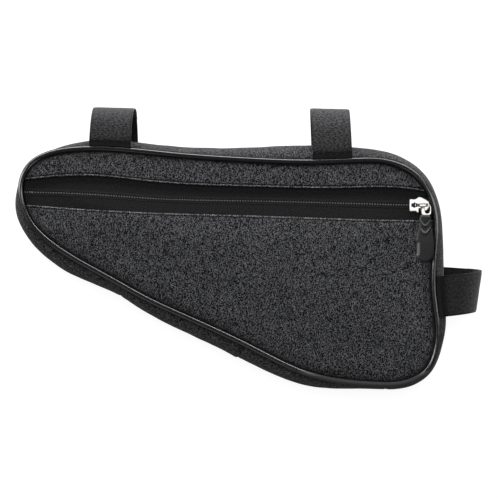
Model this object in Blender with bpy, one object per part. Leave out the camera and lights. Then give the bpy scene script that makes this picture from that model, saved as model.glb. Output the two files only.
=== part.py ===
"""A triangular bicycle frame bag that lies on its back panel.

Metres, +Z up. X runs along the bag from its nose to its tall end, Y from the lower edge to the edge
with two straps, and Z from the back panel to the front with the zip. The origin is on the back panel's
outer face, under the middle of the front seam's length and height.
"""

import math

import bmesh
import bpy
import numpy as np
from mathutils import Vector
from mathutils.geometry import delaunay_2d_cdt

# Sizes of the body
SEAM_LENGTH = 0.381
SEAM_HEIGHT = 0.215
DEPTH = 0.052
GUSSET_BULGE = 0.016
WALL = 0.0025
PIPING_RADIUS = 0.0023
GAP = 0.0003

# The padded front: it dips at the piping, rises over the rim and bellies in the middle
RIM_WIDTH = 0.016
RIM_DIP = 0.0008
RIM_RISE = 0.0014
BELLY = 0.003
BELLY_REACH = 0.055
BACK_LIFT = 0.0013

# The zip
TAPE_THICKNESS = 0.001
TAPE_DROP = 0.0010
TAPE_OVERLAP = 0.005
TAPE_SLIT = 0.0008
COIL_WIDTH = 0.006
COIL_THICKNESS = 0.002
SLIDER_AT = 0.9501
SLIDER_LENGTH = 0.0186
SLIDER_WIDTH = 0.015
PLATE_THICKNESS = 0.0014
PLATE_ROUNDING = 0.0004
WEDGE_LENGTH = 0.006
WEDGE_WIDTH = 0.0032
BRIDGE_LENGTH = 0.0162
BRIDGE_RADIUS = 0.00095
BRIDGE_BEND = 0.0017

# The pull
HINGE_OFFSET = 0.0055
EYE_CLEARANCE = 0.0004
EYE_WALL = 0.0014
EYE_LENGTH = 0.0026
TAB_WIDTH = 0.010
TAB_LENGTH = 0.0100
TAB_THICKNESS = 0.0016
TAB_HOLE_RADIUS = 0.0018
TONGUE_WIDTH = 0.005
TONGUE_LENGTH = 0.005
GRIP_LENGTH = 0.0415
GRIP_WIDTH = 0.016
GRIP_THICKNESS = 0.0044
GRIP_CHEVRON = 0.004

# The straps
STRAP_WIDTH = 0.038
STRAP_THICKNESS = 0.0018
STRAP_SQUARENESS = 3.2
LOOP_END = 0.76
HOOK_START = 0.55
HOOK_STEP = 0.20

# The front seam, once round from the nose over the strap edge. Along and up are shares of the seam's
# length and height, and bulge is the gusset's swelling there as a share of GUSSET_BULGE.
SEAM_ROWS = (
    # place, along, up, bulge
    ("nose", -0.001, 0.808, 0.37),
    ("nose top", 0.021, 0.926, 0.08),
    ("upper start", 0.065, 0.973, 0.10),
    ("rear strap start", 0.130, 0.994, 0.32),
    ("rear strap end", 0.262, 0.989, 0.42),
    ("upper run", 0.368, 0.970, 0.41),
    ("sag start", 0.547, 0.948, 0.66),
    ("sag", 0.692, 0.940, 0.88),
    ("front strap end", 0.791, 0.946, 0.68),
    ("tall end shoulder", 0.862, 0.944, 0.51),
    ("tall end turn", 0.945, 0.879, 0.39),
    ("tall end top", 0.983, 0.759, 0.38),
    ("tall end run", 0.990, 0.606, 0.47),
    ("side strap start", 0.985, 0.472, 0.64),
    ("side strap end", 0.987, 0.370, 0.65),
    ("tall end foot", 0.995, 0.250, 0.55),
    ("heel turn", 0.992, 0.150, 0.41),
    ("heel", 0.969, 0.057, 0.44),
    ("heel end", 0.925, 0.008, 0.47),
    ("lower run", 0.848, -0.003, 0.41),
    ("lower bend", 0.699, 0.034, 0.73),
    ("slope end", 0.546, 0.158, 0.93),
    ("slope", 0.387, 0.289, 0.90),
    ("slope fold start", 0.292, 0.368, 0.77),
    ("slope fold", 0.253, 0.406, 0.69),
    ("slope fold end", 0.215, 0.444, 0.73),
    ("slope start", 0.122, 0.536, 0.97),
    ("nose foot", 0.062, 0.610, 0.89),
    ("nose turn", 0.022, 0.687, 0.74),
    ("nose low", 0.005, 0.754, 0.60),
)
STATIONS_PER_ROW = 3
DENSE_PER_ROW = 24

# The zip band's lines, from the nose to the tall end: shares of the seam's length and height
ZIP_LINES = ("along", "upper fold", "teeth", "lower fold")
ZIP_ROWS = (
    # along, upper fold, teeth, lower fold
    (0.000, 0.862, 0.812, 0.759),
    (0.168, 0.881, 0.802, 0.738),
    (0.311, 0.856, 0.785, 0.725),
    (0.549, 0.835, 0.774, 0.713),
    (0.764, 0.829, 0.765, 0.700),
    (0.908, 0.828, 0.758, 0.694),
    (1.000, 0.803, 0.755, 0.693),
)
ZIP_COLUMNS = 26

# The gusset's section from the front seam to the back seam: how far across its depth, and how much of
# the bulge it has there
GUSSET_SECTION = (
    # depth, bulge
    (0.00, 0.00),
    (0.10, 0.44),
    (0.28, 0.86),
    (0.50, 1.00),
    (0.72, 0.86),
    (0.90, 0.44),
    (1.00, 0.00),
)

# The straps, by the share of the seam's own length at their middle. The reaches are those of the fold
# beyond the seam at the strap's two edges, and the shift moves the back end along the seam.
STRAP_ROWS = (
    # name, place on the seam, reach at the first edge, reach at the last edge, shift, lean in degrees
    ("strap_rear", 0.1043, 0.0374, 0.0374, 0.0020, 1.3),
    ("strap_front", 0.3065, 0.0488, 0.0463, 0.0, 0.4),
    ("strap_side", 0.5005, 0.0455, 0.0395, -0.0065, -4.6),
)
STRAP_COLUMNS = 4
STRAP_STEPS = 22

# Half the slider plate's outline, from its tail to its nose
PLATE_ROWS = (
    # along, half width
    (0.00, 0.75),
    (0.32, 0.78),
    (0.46, 1.00),
    (0.58, 0.99),
    (0.82, 0.72),
    (0.95, 0.52),
    (1.00, 0.34),
)

# The grip's sections from the tab to its round end: shares of its length, half width, half thickness
# and chevron depth
GRIP_ROWS = (
    # along, half width, half thickness, chevron
    (0.00, 0.55, 0.75, 0.0),
    (0.03, 0.62, 0.90, 0.1),
    (0.18, 0.62, 0.90, 0.6),
    (0.22, 0.70, 1.00, 0.9),
    (0.27, 0.60, 0.66, 1.0),
    (0.33, 0.76, 1.00, 1.0),
    (0.38, 0.65, 0.66, 1.0),
    (0.44, 0.84, 1.00, 1.0),
    (0.49, 0.74, 0.70, 0.9),
    (0.56, 0.96, 0.84, 0.5),
    (0.66, 1.00, 0.84, 0.0),
    (0.86, 1.00, 0.80, 0.0),
    (0.96, 0.84, 0.72, 0.0),
    (1.00, 0.56, 0.40, 0.0),
)
GRIP_SIDES = 12

# Round sections and joins
PIPING_SIDES = 8
BRIDGE_SIDES = 8
BRIDGE_BEND_STEPS = 4
EYE_SIDES = 20
JOIN_OVERLAP = 0.0004
CUT_MARGIN = 0.001

# Colours as linear RGB, roughness and metallic
FINISHES = {
    "heather": ((0.045, 0.045, 0.047), 0.90, 0.0),
    "piping": ((0.012, 0.012, 0.013), 0.25, 0.0),
    "tape": ((0.016, 0.016, 0.017), 0.85, 0.0),
    "webbing": ((0.036, 0.036, 0.037), 0.95, 0.0),
    "nickel": ((0.72, 0.72, 0.74), 0.18, 1.0),
    "rubber": ((0.020, 0.020, 0.021), 0.50, 0.0),
}


def clear_scene():
    for obj in list(bpy.data.objects):
        bpy.data.objects.remove(obj)


def finish(name):
    material = bpy.data.materials.get(name)
    if material:
        return material
    colour, roughness, metallic = FINISHES[name]
    material = bpy.data.materials.new(name)
    material.use_nodes = True
    shader = material.node_tree.nodes["Principled BSDF"]
    shader.inputs["Base Color"].default_value = (*colour, 1.0)
    shader.inputs["Roughness"].default_value = roughness
    shader.inputs["Metallic"].default_value = metallic
    return material


def smooth(share):
    """An even step from 0 to 1."""
    share = np.clip(share, 0.0, 1.0)
    return share * share * (3.0 - 2.0 * share)


def spline(knots, values, at, closed=False):
    """The cubic through the values at the knots, natural at its ends or closed into a loop."""
    knots, values, at = (np.asarray(item, float) for item in (knots, values, at))
    steps = np.diff(knots)
    count = len(values)
    ends = np.vstack([values, values[:1]]) if closed else values
    slopes = np.diff(ends, axis=0) / steps[:, None]
    matrix = np.eye(count)
    right = np.zeros_like(values)
    inner = range(count) if closed else range(1, count - 1)
    for i in inner:
        matrix[i] = 0.0
        matrix[i, i] = 2.0 * (steps[i - 1] + steps[i])
        matrix[i, i - 1] += steps[i - 1]
        matrix[i, (i + 1) % count] += steps[i]
        right[i] = 6.0 * (slopes[i] - slopes[i - 1])
    bends = np.linalg.solve(matrix, right)
    bends = np.vstack([bends, bends[:1]]) if closed else bends
    piece = np.clip(np.searchsorted(knots, at, side="right") - 1, 0, len(steps) - 1)
    step = steps[piece][:, None]
    late = (at - knots[piece])[:, None]
    early = step - late
    return (
        (bends[piece] * early**3 + bends[piece + 1] * late**3) / (6.0 * step)
        + (ends[piece] / step - bends[piece] * step / 6.0) * early
        + (ends[piece + 1] / step - bends[piece + 1] * step / 6.0) * late
    )


def seam_places(per_row):
    """Points of the front seam, their outward directions and the bulge there, per_row to each table row."""
    rows = np.array([row[1:] for row in SEAM_ROWS], float)
    values = np.empty_like(rows)
    values[:, 0] = (rows[:, 0] - 0.5) * SEAM_LENGTH
    values[:, 1] = (rows[:, 1] - 0.5) * SEAM_HEIGHT
    values[:, 2] = rows[:, 2] * GUSSET_BULGE
    around = np.vstack([values, values[:1]])
    chords = np.linalg.norm(np.diff(around[:, :2], axis=0), axis=1)
    knots = np.concatenate([[0.0], np.cumsum(chords)])
    shares = np.arange(per_row) / per_row
    at = (knots[:-1, None] + chords[:, None] * shares[None, :]).ravel()
    found = spline(knots, values, at, closed=True)
    tangents = np.roll(found[:, :2], -1, axis=0) - np.roll(found[:, :2], 1, axis=0)
    tangents /= np.linalg.norm(tangents, axis=1)[:, None]
    outward = np.column_stack([-tangents[:, 1], tangents[:, 0]])
    return found[:, :2], outward, np.maximum(found[:, 2], 0.0)


STATIONS, OUTWARD, BULGE = seam_places(STATIONS_PER_ROW)
DENSE, _, _ = seam_places(DENSE_PER_ROW)


def seam_at(share):
    """The front seam's point and outward direction at a share of its own length from the nose."""
    steps = seam_steps()
    lengths = np.concatenate([[0.0], np.cumsum(steps)])
    place = (share % 1.0) * lengths[-1]
    i = int(np.clip(np.searchsorted(lengths, place, side="right") - 1, 0, len(steps) - 1))
    part = (place - lengths[i]) / steps[i]
    after = (i + 1) % len(steps)
    point = STATIONS[i] * (1.0 - part) + STATIONS[after] * part
    outward = OUTWARD[i] * (1.0 - part) + OUTWARD[after] * part
    return point, outward / np.linalg.norm(outward)


def seam_steps():
    return np.linalg.norm(np.roll(STATIONS, -1, axis=0) - STATIONS, axis=1)


def distance_to(curve, points):
    """How far each point is from the nearest of the curve's points."""
    points = np.atleast_2d(np.asarray(points, float))
    return np.sqrt(((points[:, None, :] - curve[None, :, :]) ** 2).sum(axis=2).min(axis=1))


def rim(distance):
    return 1.0 - (1.0 - np.clip(distance / RIM_WIDTH, 0.0, 1.0)) ** 3


def front_height(points):
    """Height of the padded front's outer face."""
    inside = distance_to(DENSE, points)
    belly = smooth((inside - RIM_WIDTH) / BELLY_REACH)
    return DEPTH - RIM_DIP + (RIM_DIP + RIM_RISE) * rim(inside) + BELLY * belly


def back_height(points):
    """Height of the back panel's outer face, which lifts off the ground at its seam."""
    return BACK_LIFT * (1.0 - rim(distance_to(DENSE, points)))


def zip_band(name, along):
    """Height on the front, in Y, of one of the zip band's lines at each X."""
    rows = np.array(ZIP_ROWS)
    column = ZIP_LINES.index(name)
    shares = np.atleast_1d(np.asarray(along, float)) / SEAM_LENGTH + 0.5
    found = spline(rows[:, 0], rows[:, column : column + 1], np.clip(shares, 0.0, 1.0))[:, 0]
    return (found - 0.5) * SEAM_HEIGHT


def band_line(name, raised=0.0):
    """A line of the zip band as a function of X, moved up by the given length."""
    return lambda along: zip_band(name, along) + raised


def crossings(loop, line):
    """Where a loop that starts at the nose and goes over the strap edge meets a line across the bag.

    Returns the index of the first station above the line with its meeting point, then the same for the
    first station that is below it again.
    """
    over = loop[:, 1] - line(loop[:, 0])
    found = {}
    for i in range(len(loop)):
        before = over[i - 1]
        if (before <= 0.0) != (over[i] <= 0.0):
            part = before / (before - over[i])
            found[bool(over[i] > 0.0)] = (i, loop[i - 1] * (1.0 - part) + loop[i] * part)
    return found[True], found[False]


def strip(loop, lower, upper, columns, end_share=1.0):
    """The outline of the strip of the bag between two lines, round from its lower left corner."""
    spread = 0.5 - 0.5 * np.cos(np.pi * np.arange(columns + 1) / columns)
    edges = []
    for line in (lower, upper):
        (_, left), (_, right) = crossings(loop, line)
        last = left[0] + (right[0] - left[0]) * end_share
        along = left[0] + (last - left[0]) * spread
        edges.append(np.column_stack([along, line(along)]))
    return np.vstack([edges[0], edges[1][::-1]])


def clipped(loop, line, above, columns):
    """The part of a loop above or below a line, closed along the line."""
    (first, left), (last, right) = crossings(loop, line)
    count = len(loop)
    if above:
        kept = [loop[i % count] for i in range(first, last if last > first else last + count)]
        start, stop = left, right
    else:
        kept = [loop[i % count] for i in range(last, first if first > last else first + count)]
        start, stop = right, left
    nearest = WALL
    kept = [p for p in kept if min(np.linalg.norm(p - start), np.linalg.norm(p - stop)) > nearest]
    along = np.linspace(stop[0], start[0], columns + 1)
    fold = np.column_stack([along, line(along)])
    return np.vstack([np.array(kept), fold])


def inside_points(distances, lines):
    """Points on rings inside the seam, for a panel's mesh, clear of the seam's far side and of the lines."""
    found = []
    for i, distance in enumerate(distances):
        ring = (STATIONS - OUTWARD * distance)[:: min(i, 2) + 1]
        ring = ring[distance_to(DENSE, ring) > 0.93 * distance]
        for line, above in lines:
            over = ring[:, 1] - line(ring[:, 0])
            ring = ring[over > WALL] if above else ring[over < -WALL]
        found.append(ring)
    return np.vstack(found)


def add_object(name, vertices, faces, material, hidden=False):
    mesh = bpy.data.meshes.new(name)
    mesh.from_pydata([tuple(v) for v in vertices], [], faces)
    work = bmesh.new()
    work.from_mesh(mesh)
    bmesh.ops.recalc_face_normals(work, faces=work.faces)
    work.to_mesh(mesh)
    work.free()
    mesh.materials.append(finish(material))
    obj = bpy.data.objects.new(name, mesh)
    bpy.context.scene.collection.objects.link(obj)
    if hidden:
        obj.hide_render = True
        obj.display_type = "WIRE"
    return obj


def round_off(obj):
    obj.data.shade_smooth()
    obj.data.set_sharp_from_angle(angle=math.radians(40.0))
    return obj


def skin(rings, closed, strip_caps=False):
    """Vertices and faces of the surface through equal rings of points, with end caps where it is open.

    A strip cap joins the ring's first half to its second half point by point, so that it can be curved.
    """
    count = len(rings[0])
    vertices = [p for ring in rings for p in ring]
    spans = len(rings) if closed else len(rings) - 1
    faces = []
    for i in range(spans):
        low, high = i * count, ((i + 1) % len(rings)) * count
        for j in range(count):
            after = (j + 1) % count
            faces.append((low + j, low + after, high + after, high + j))
    for first in () if closed else (0, len(vertices) - count):
        if strip_caps:
            last = first + count - 1
            faces += [(first + j, first + j + 1, last - j - 1, last - j) for j in range(count // 2 - 1)]
        else:
            faces.append(tuple(range(first, first + count)))
    return vertices, faces


def sheet(name, outline, inner, height, material, thickness):
    """A sheet of even thickness over an outline, whose lower face has the given height at each point."""
    count = len(outline)
    points = np.vstack([outline, inner]) if len(inner) else outline
    edges = [(i, (i + 1) % count) for i in range(count)]
    flat, _, triangles, *_ = delaunay_2d_cdt([Vector(p) for p in points], edges, [], 1, 1e-7)
    flat = np.array(flat)
    low = height(flat)
    below = [(x, y, z) for (x, y), z in zip(flat, low)]
    above = [(x, y, z + thickness) for x, y, z in below]
    total = len(flat)
    faces = [tuple(t) for t in triangles] + [tuple(i + total for i in t) for t in triangles]
    borders = {}
    for t in triangles:
        for a, b in zip(t, (*t[1:], t[0])):
            borders[frozenset((a, b))] = borders.get(frozenset((a, b)), 0) + 1
    for edge, uses in borders.items():
        if uses == 1:
            a, b = sorted(edge)
            faces.append((a, b, b + total, a + total))
    return round_off(add_object(name, below + above, faces, material))


def piping(name, height):
    rings = []
    for centre, out in zip(STATIONS, OUTWARD):
        ring = []
        for k in range(PIPING_SIDES):
            turn = 2.0 * math.pi * k / PIPING_SIDES
            x, y = centre + out * PIPING_RADIUS * math.cos(turn)
            ring.append((x, y, height + PIPING_RADIUS * math.sin(turn)))
        rings.append(ring)
    return round_off(add_object(name, *skin(rings, closed=True), "piping"))


def gusset_profile(bulge):
    """The gusset's closed section, as lengths outwards from the front seam and heights."""
    top = DEPTH - PIPING_RADIUS - GAP
    bottom = back_piping_height() + PIPING_RADIUS + GAP
    middle = []
    for depth, share in GUSSET_SECTION:
        middle.append((bulge * share, top + (bottom - top) * depth))
    middle = np.array(middle)
    tangents = np.gradient(middle, axis=0)
    tangents[0] = tangents[-1] = (0.0, -1.0)
    tangents /= np.linalg.norm(tangents, axis=1)[:, None]
    normals = np.column_stack([-tangents[:, 1], tangents[:, 0]])
    outer = middle + normals * WALL / 2.0
    inner = middle - normals * WALL / 2.0
    return np.vstack([outer, inner[::-1]])


def gusset():
    rings = []
    for station, out, bulge in zip(STATIONS, OUTWARD, BULGE):
        profile = gusset_profile(bulge)
        rings.append([(*(station + out * reach), z) for reach, z in profile])
    return round_off(add_object("gusset", *skin(rings, closed=True), "heather"))


def back_piping_height():
    return PIPING_RADIUS + GAP


def panel_edge():
    return STATIONS - OUTWARD * (PIPING_RADIUS + GAP)


def front_panels():
    edge = panel_edge()
    rings = (0.35 * RIM_WIDTH, RIM_WIDTH, RIM_WIDTH + 0.4 * BELLY_REACH, RIM_WIDTH + 0.8 * BELLY_REACH)
    for name, fold, above in (
        ("front_panel_upper", "upper fold", True),
        ("front_panel_lower", "lower fold", False),
    ):
        line = band_line(fold)
        outline = clipped(edge, line, above, ZIP_COLUMNS)
        inner = inside_points(rings, [(line, above)])
        sheet(name, outline, inner, lambda p: front_height(p) - WALL, "heather", WALL)


def back_panel():
    inner = inside_points((0.4 * RIM_WIDTH, RIM_WIDTH), [])
    sheet("back_panel", panel_edge(), inner, back_height, "heather", WALL)


def tape_top(points):
    return front_height(points) - WALL - TAPE_DROP


def slider_centre():
    along = (SLIDER_AT - 0.5) * SEAM_LENGTH
    return along, float(zip_band("teeth", along)[0])


def slit_line(side):
    """The inner edge of a tape, which parts round the slider's wedge."""
    centre, _ = slider_centre()
    start = centre - SLIDER_LENGTH / 2.0
    parted = WEDGE_WIDTH / 2.0 + GAP - TAPE_SLIT / 2.0

    def line(along):
        opening = parted * smooth((np.asarray(along) - start) / (SLIDER_LENGTH / 2.0))
        return zip_band("teeth", along) + side * (TAPE_SLIT / 2.0 + opening)

    return line


def zip_tapes():
    edge = panel_edge()
    for name, lower, upper in (
        ("zip_tape_upper", slit_line(1), band_line("upper fold", TAPE_OVERLAP)),
        ("zip_tape_lower", band_line("lower fold", -TAPE_OVERLAP), slit_line(-1)),
    ):
        outline = strip(edge, lower, upper, ZIP_COLUMNS)
        sheet(name, outline, [], lambda p: tape_top(p) - TAPE_THICKNESS, "tape", TAPE_THICKNESS)


def coil_top(points):
    return tape_top(points) - TAPE_THICKNESS - 1.5 * GAP


def zip_coil():
    """The closed coil, a band with bevelled edges that ends inside the slider."""
    (_, left), _ = crossings(panel_edge(), band_line("teeth"))
    stop = slider_centre()[0] - WEDGE_LENGTH / 2.0
    along = left[0] + (stop - left[0]) * (0.5 - 0.5 * np.cos(np.pi * np.arange(ZIP_COLUMNS + 1) / ZIP_COLUMNS))
    rings = []
    for x in along:
        y = float(zip_band("teeth", x)[0])
        z = float(coil_top([(x, y)])[0])
        rings.append(
            [
                (x, y + COIL_WIDTH * across, z - COIL_THICKNESS * down)
                for across, down in ((-0.5, 0.5), (-0.3, 0.0), (0.3, 0.0), (0.5, 0.5), (0.3, 1.0), (-0.3, 1.0))
            ]
        )
    return add_object("zip_coil", *skin(rings, closed=False), "tape")


def slider_levels():
    """Heights of the upper plate's underside and of the lower plate's top, clear of the tapes and the coil."""
    x, y = slider_centre()
    ends = [(x + SLIDER_LENGTH * share, y) for share in (-0.5, -0.25, 0.0, 0.25, 0.5)]
    tape = tape_top(ends)
    coil = tape[:3] - TAPE_THICKNESS - GAP - COIL_THICKNESS
    lowest = min(coil.min(), tape.min() - TAPE_THICKNESS)
    return float(tape.max()) + GAP, float(lowest) - GAP


def hinge_height():
    """The pull lies level, just clear of the piping beside the slider and of the padded front."""
    return max(DEPTH + PIPING_RADIUS, under_grip()) + GAP + GRIP_THICKNESS / 2.0


def under_grip():
    """The highest point of the front under the pull."""
    x, y = slider_centre()
    x += HINGE_OFFSET
    reach = TAB_LENGTH + GRIP_LENGTH
    spots = [
        (x + across * GRIP_WIDTH / 2.0, y - reach * share)
        for across in (-1.0, 0.0, 1.0)
        for share in np.linspace(0.2, 1.0, 9)
    ]
    return float(front_height(spots).max())


def plate(name, low, high):
    """One of the slider's plates, from its tail on the left to its nose."""
    x, y = slider_centre()
    half = [
        (x + (along - 0.5) * SLIDER_LENGTH, SLIDER_WIDTH / 2.0 * width) for along, width in PLATE_ROWS
    ]
    outline = [(a, y + w) for a, w in half] + [(a, y - w) for a, w in reversed(half)]
    rings = [[(a, b, z) for a, b in outline] for z in (low, high)]
    obj = add_object(name, *skin(rings, closed=False), "nickel", hidden=True)
    bevel = obj.modifiers.new("rounding", "BEVEL")
    bevel.width = PLATE_ROUNDING
    bevel.segments = 2
    bevel.limit_method = "ANGLE"
    return obj


def wedge(low, high):
    """The diamond between the plates, where the two tapes part."""
    x, y = slider_centre()
    middle = x + SLIDER_LENGTH * 0.25
    shape = (
        (middle - WEDGE_LENGTH / 2.0, y),
        (middle, y + WEDGE_WIDTH / 2.0),
        (middle + WEDGE_LENGTH / 2.0, y),
        (middle, y - WEDGE_WIDTH / 2.0),
    )
    rings = [[(a, b, z) for a, b in shape] for z in (low, high)]
    return add_object("slider_wedge", *skin(rings, closed=False), "nickel", hidden=True)


def bridge(foot):
    """The bar over the slider that the tab hangs on, bent down to the plate at both ends."""
    x, y = slider_centre()
    top = hinge_height()
    half = BRIDGE_LENGTH / 2.0
    path = [(-half, foot)]
    for k in range(BRIDGE_BEND_STEPS + 1):
        turn = math.pi / 2.0 * k / BRIDGE_BEND_STEPS
        path.append((-half + BRIDGE_BEND * (1.0 - math.cos(turn)), top - BRIDGE_BEND * (1.0 - math.sin(turn))))
    path += [(-a, z) for a, z in reversed(path)]
    path = np.array(path)
    tangents = np.gradient(path, axis=0)
    tangents[0], tangents[-1] = (0.0, 1.0), (0.0, -1.0)
    rings = []
    for (a, z), tangent in zip(path, tangents):
        tangent = tangent / np.linalg.norm(tangent)
        ring = []
        for k in range(BRIDGE_SIDES):
            turn = 2.0 * math.pi * (k + 0.5) / BRIDGE_SIDES
            side = BRIDGE_RADIUS * math.cos(turn)
            up = BRIDGE_RADIUS * math.sin(turn)
            ring.append((x + a - tangent[1] * up, y + side, z + tangent[0] * up))
        rings.append(ring)
    return add_object("slider_bridge", *skin(rings, closed=False), "nickel", hidden=True)


def combine(obj, other, operation):
    step = obj.modifiers.new(f"{operation} {other.name}", "BOOLEAN")
    step.operation = operation
    step.object = other


def zip_slider():
    upper, lower = slider_levels()
    body = plate("zip_slider", upper, upper + PLATE_THICKNESS)
    body.hide_render = False
    body.display_type = "TEXTURED"
    under = plate("slider_under", lower - PLATE_THICKNESS, lower)
    for other in (
        under,
        wedge(lower - JOIN_OVERLAP, upper + JOIN_OVERLAP),
        bridge(upper + PLATE_THICKNESS - JOIN_OVERLAP),
    ):
        combine(body, other, "UNION")
    return body


def rod(name, centre, axis, radius, length):
    """A round bar along one of the axes, 0 for X and 2 for Z."""
    first, second = [(axis + 1) % 3, (axis + 2) % 3]
    rings = []
    for end in (-0.5, 0.5):
        ring = []
        for k in range(EYE_SIDES):
            turn = 2.0 * math.pi * k / EYE_SIDES
            point = np.array(centre)
            point[axis] += length * end
            point[first] += radius * math.cos(turn)
            point[second] += radius * math.sin(turn)
            ring.append(tuple(point))
        rings.append(ring)
    return add_object(name, *skin(rings, closed=False), "nickel", hidden=True)


def hinge_point():
    x, y = slider_centre()
    return x + HINGE_OFFSET, y, hinge_height()


def tab_plate(clearance, length):
    """The tab's flat part and its tongue, grown by a clearance for the pocket that takes the tongue."""
    x, y, z = hinge_point()
    bore = BRIDGE_RADIUS + EYE_CLEARANCE
    wide, narrow = TAB_WIDTH / 2.0 + clearance, TONGUE_WIDTH / 2.0 + clearance
    neck = EYE_LENGTH / 2.0
    top = y - bore - EYE_WALL / 2.0
    shoulder = y - bore - EYE_WALL - TAB_THICKNESS
    outline = (
        (x - neck, top),
        (x + neck, top),
        (x + wide, shoulder),
        (x + wide, y - TAB_LENGTH),
        (x + narrow, y - TAB_LENGTH),
        (x + narrow, y - length),
        (x - narrow, y - length),
        (x - narrow, y - TAB_LENGTH),
        (x - wide, y - TAB_LENGTH),
        (x - wide, shoulder),
    )
    half = TAB_THICKNESS / 2.0 + clearance
    return skin([[(a, b, z + side * half) for a, b in outline] for side in (-1, 1)], closed=False)


def pull_tab():
    """The metal tab: an eye round the bridge, a flat part with a hole, and a tongue inside the grip."""
    bore = BRIDGE_RADIUS + EYE_CLEARANCE
    x, y, z = hinge_point()
    middle = (x, y - (bore + EYE_WALL + TAB_LENGTH) / 2.0, z)
    eye = rod("pull_tab", (x, y, z), 0, bore + EYE_WALL, EYE_LENGTH)
    eye.hide_render = False
    eye.display_type = "TEXTURED"
    flat = add_object("tab_flat", *tab_plate(0.0, TAB_LENGTH + TONGUE_LENGTH), "nickel", hidden=True)
    combine(eye, flat, "UNION")
    combine(eye, rod("tab_bore", (x, y, z), 0, bore, EYE_LENGTH + 2.0 * CUT_MARGIN), "DIFFERENCE")
    combine(eye, rod("tab_hole", middle, 2, TAB_HOLE_RADIUS, TAB_THICKNESS + 2.0 * CUT_MARGIN), "DIFFERENCE")
    return eye


def pull_grip():
    """The rubber grip, with three chevron ribs above a round-ended paddle."""
    x, y, z = hinge_point()
    start = y - TAB_LENGTH - GAP
    rings = []
    for along, width, thickness, chevron in GRIP_ROWS:
        ring = []
        for k in range(GRIP_SIDES):
            turn = 2.0 * math.pi * (k + 0.5) / GRIP_SIDES
            across, up = math.cos(turn), math.sin(turn)
            across = math.copysign(abs(across) ** 0.6, across)
            up = math.copysign(abs(up) ** 0.6, up)
            rise = GRIP_CHEVRON * chevron * abs(across)
            ring.append(
                (
                    x + across * width * GRIP_WIDTH / 2.0,
                    start - along * GRIP_LENGTH + rise * min(1.0, along * GRIP_LENGTH / GRIP_CHEVRON),
                    z + up * thickness * GRIP_THICKNESS / 2.0,
                )
            )
        rings.append(ring)
    grip = round_off(add_object("pull_grip", *skin(rings, closed=False), "rubber"))
    pocket = add_object(
        "grip_pocket", *tab_plate(GAP, TAB_LENGTH + TONGUE_LENGTH + GAP), "rubber", hidden=True
    )
    combine(grip, pocket, "DIFFERENCE")
    return grip


def strap_surface(row, turns, inset):
    """The middle surface of a strap's loop, column by column, with the direction across its thickness.

    A turn of 0 is at the front seam, half a turn of the loop is at the fold, and a turn of pi is at the
    back seam. The inset moves each point towards the inside of the loop. The lean turns the strap a little
    from square to the seam.
    """
    _, place, first_reach, last_reach, shift, lean = row
    total = seam_steps().sum()
    middle, axis = seam_at(place)
    turn = math.radians(lean)
    axis = np.array(
        [axis[0] * math.cos(turn) - axis[1] * math.sin(turn), axis[0] * math.sin(turn) + axis[1] * math.cos(turn)]
    )
    along_seam = np.array([axis[1], -axis[0]])
    start = PIPING_RADIUS + GAP
    power = 2.0 / STRAP_SQUARENESS
    front_z = DEPTH - PIPING_RADIUS / 2.0
    back_z = back_piping_height()
    columns = []
    for across in np.linspace(-0.5, 0.5, STRAP_COLUMNS + 1):
        base, out = seam_at(place + across * STRAP_WIDTH / total)
        reach = first_reach + (last_reach - first_reach) * (across + 0.5)
        fold = middle + axis * reach + along_seam * (across * STRAP_WIDTH + shift / 2.0)
        front = base + out * start
        back_base, back_out = seam_at(place + (across * STRAP_WIDTH + shift) / total)
        back = back_base + back_out * start
        points = []
        for turn in turns:
            end = front if turn < math.pi / 2.0 else back
            share = abs(math.sin(turn)) ** power
            level = math.copysign(abs(math.cos(turn)) ** power, math.cos(turn))
            flat = end * (1.0 - share) + fold * share
            points.append((*flat, (front_z + back_z) / 2.0 + level * (front_z - back_z) / 2.0))
        points = np.array(points)
        tangents = np.gradient(points, axis=0)
        normals = np.cross(tangents, (*along_seam, 0.0))
        normals /= np.linalg.norm(normals, axis=1)[:, None]
        columns.append((points + normals * inset[:, None], normals))
    return columns


def strap_piece(name, row, turns, inset):
    columns = strap_surface(row, turns, inset)
    rings = []
    for i in range(len(turns)):
        outer = [tuple(points[i] + normals[i] * STRAP_THICKNESS / 2.0) for points, normals in columns]
        inner = [tuple(points[i] - normals[i] * STRAP_THICKNESS / 2.0) for points, normals in columns]
        rings.append(outer + inner[::-1])
    return round_off(add_object(name, *skin(rings, closed=False, strip_caps=True), "webbing"))


def straps():
    """Each strap: a long tape from the front seam over the fold, and a short one from the back seam inside it."""
    for row in STRAP_ROWS:
        turns = np.linspace(0.0, 1.0, STRAP_STEPS + 1)
        outer = turns[turns < LOOP_END] * math.pi
        strap_piece(f"{row[0]}_loop", row, outer, np.zeros(len(outer)))
        inner = turns[turns > HOOK_START]
        inset = smooth((1.0 - inner) / HOOK_STEP) * (STRAP_THICKNESS + 2.0 * GAP)
        strap_piece(f"{row[0]}_hook", row, inner * math.pi, inset)


def main():
    clear_scene()
    front_panels()
    gusset()
    back_panel()
    piping("front_piping", DEPTH)
    piping("back_piping", back_piping_height())
    zip_tapes()
    zip_coil()
    zip_slider()
    pull_tab()
    pull_grip()
    straps()


main()
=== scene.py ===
"""A bicycle frame bag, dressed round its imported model.

The bag lies on its back panel and is seen from above. Metres: X runs from the nose to the tall end, Y towards
the edge with two straps, and Z from the back panel to the front panel with the zip.
"""

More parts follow.
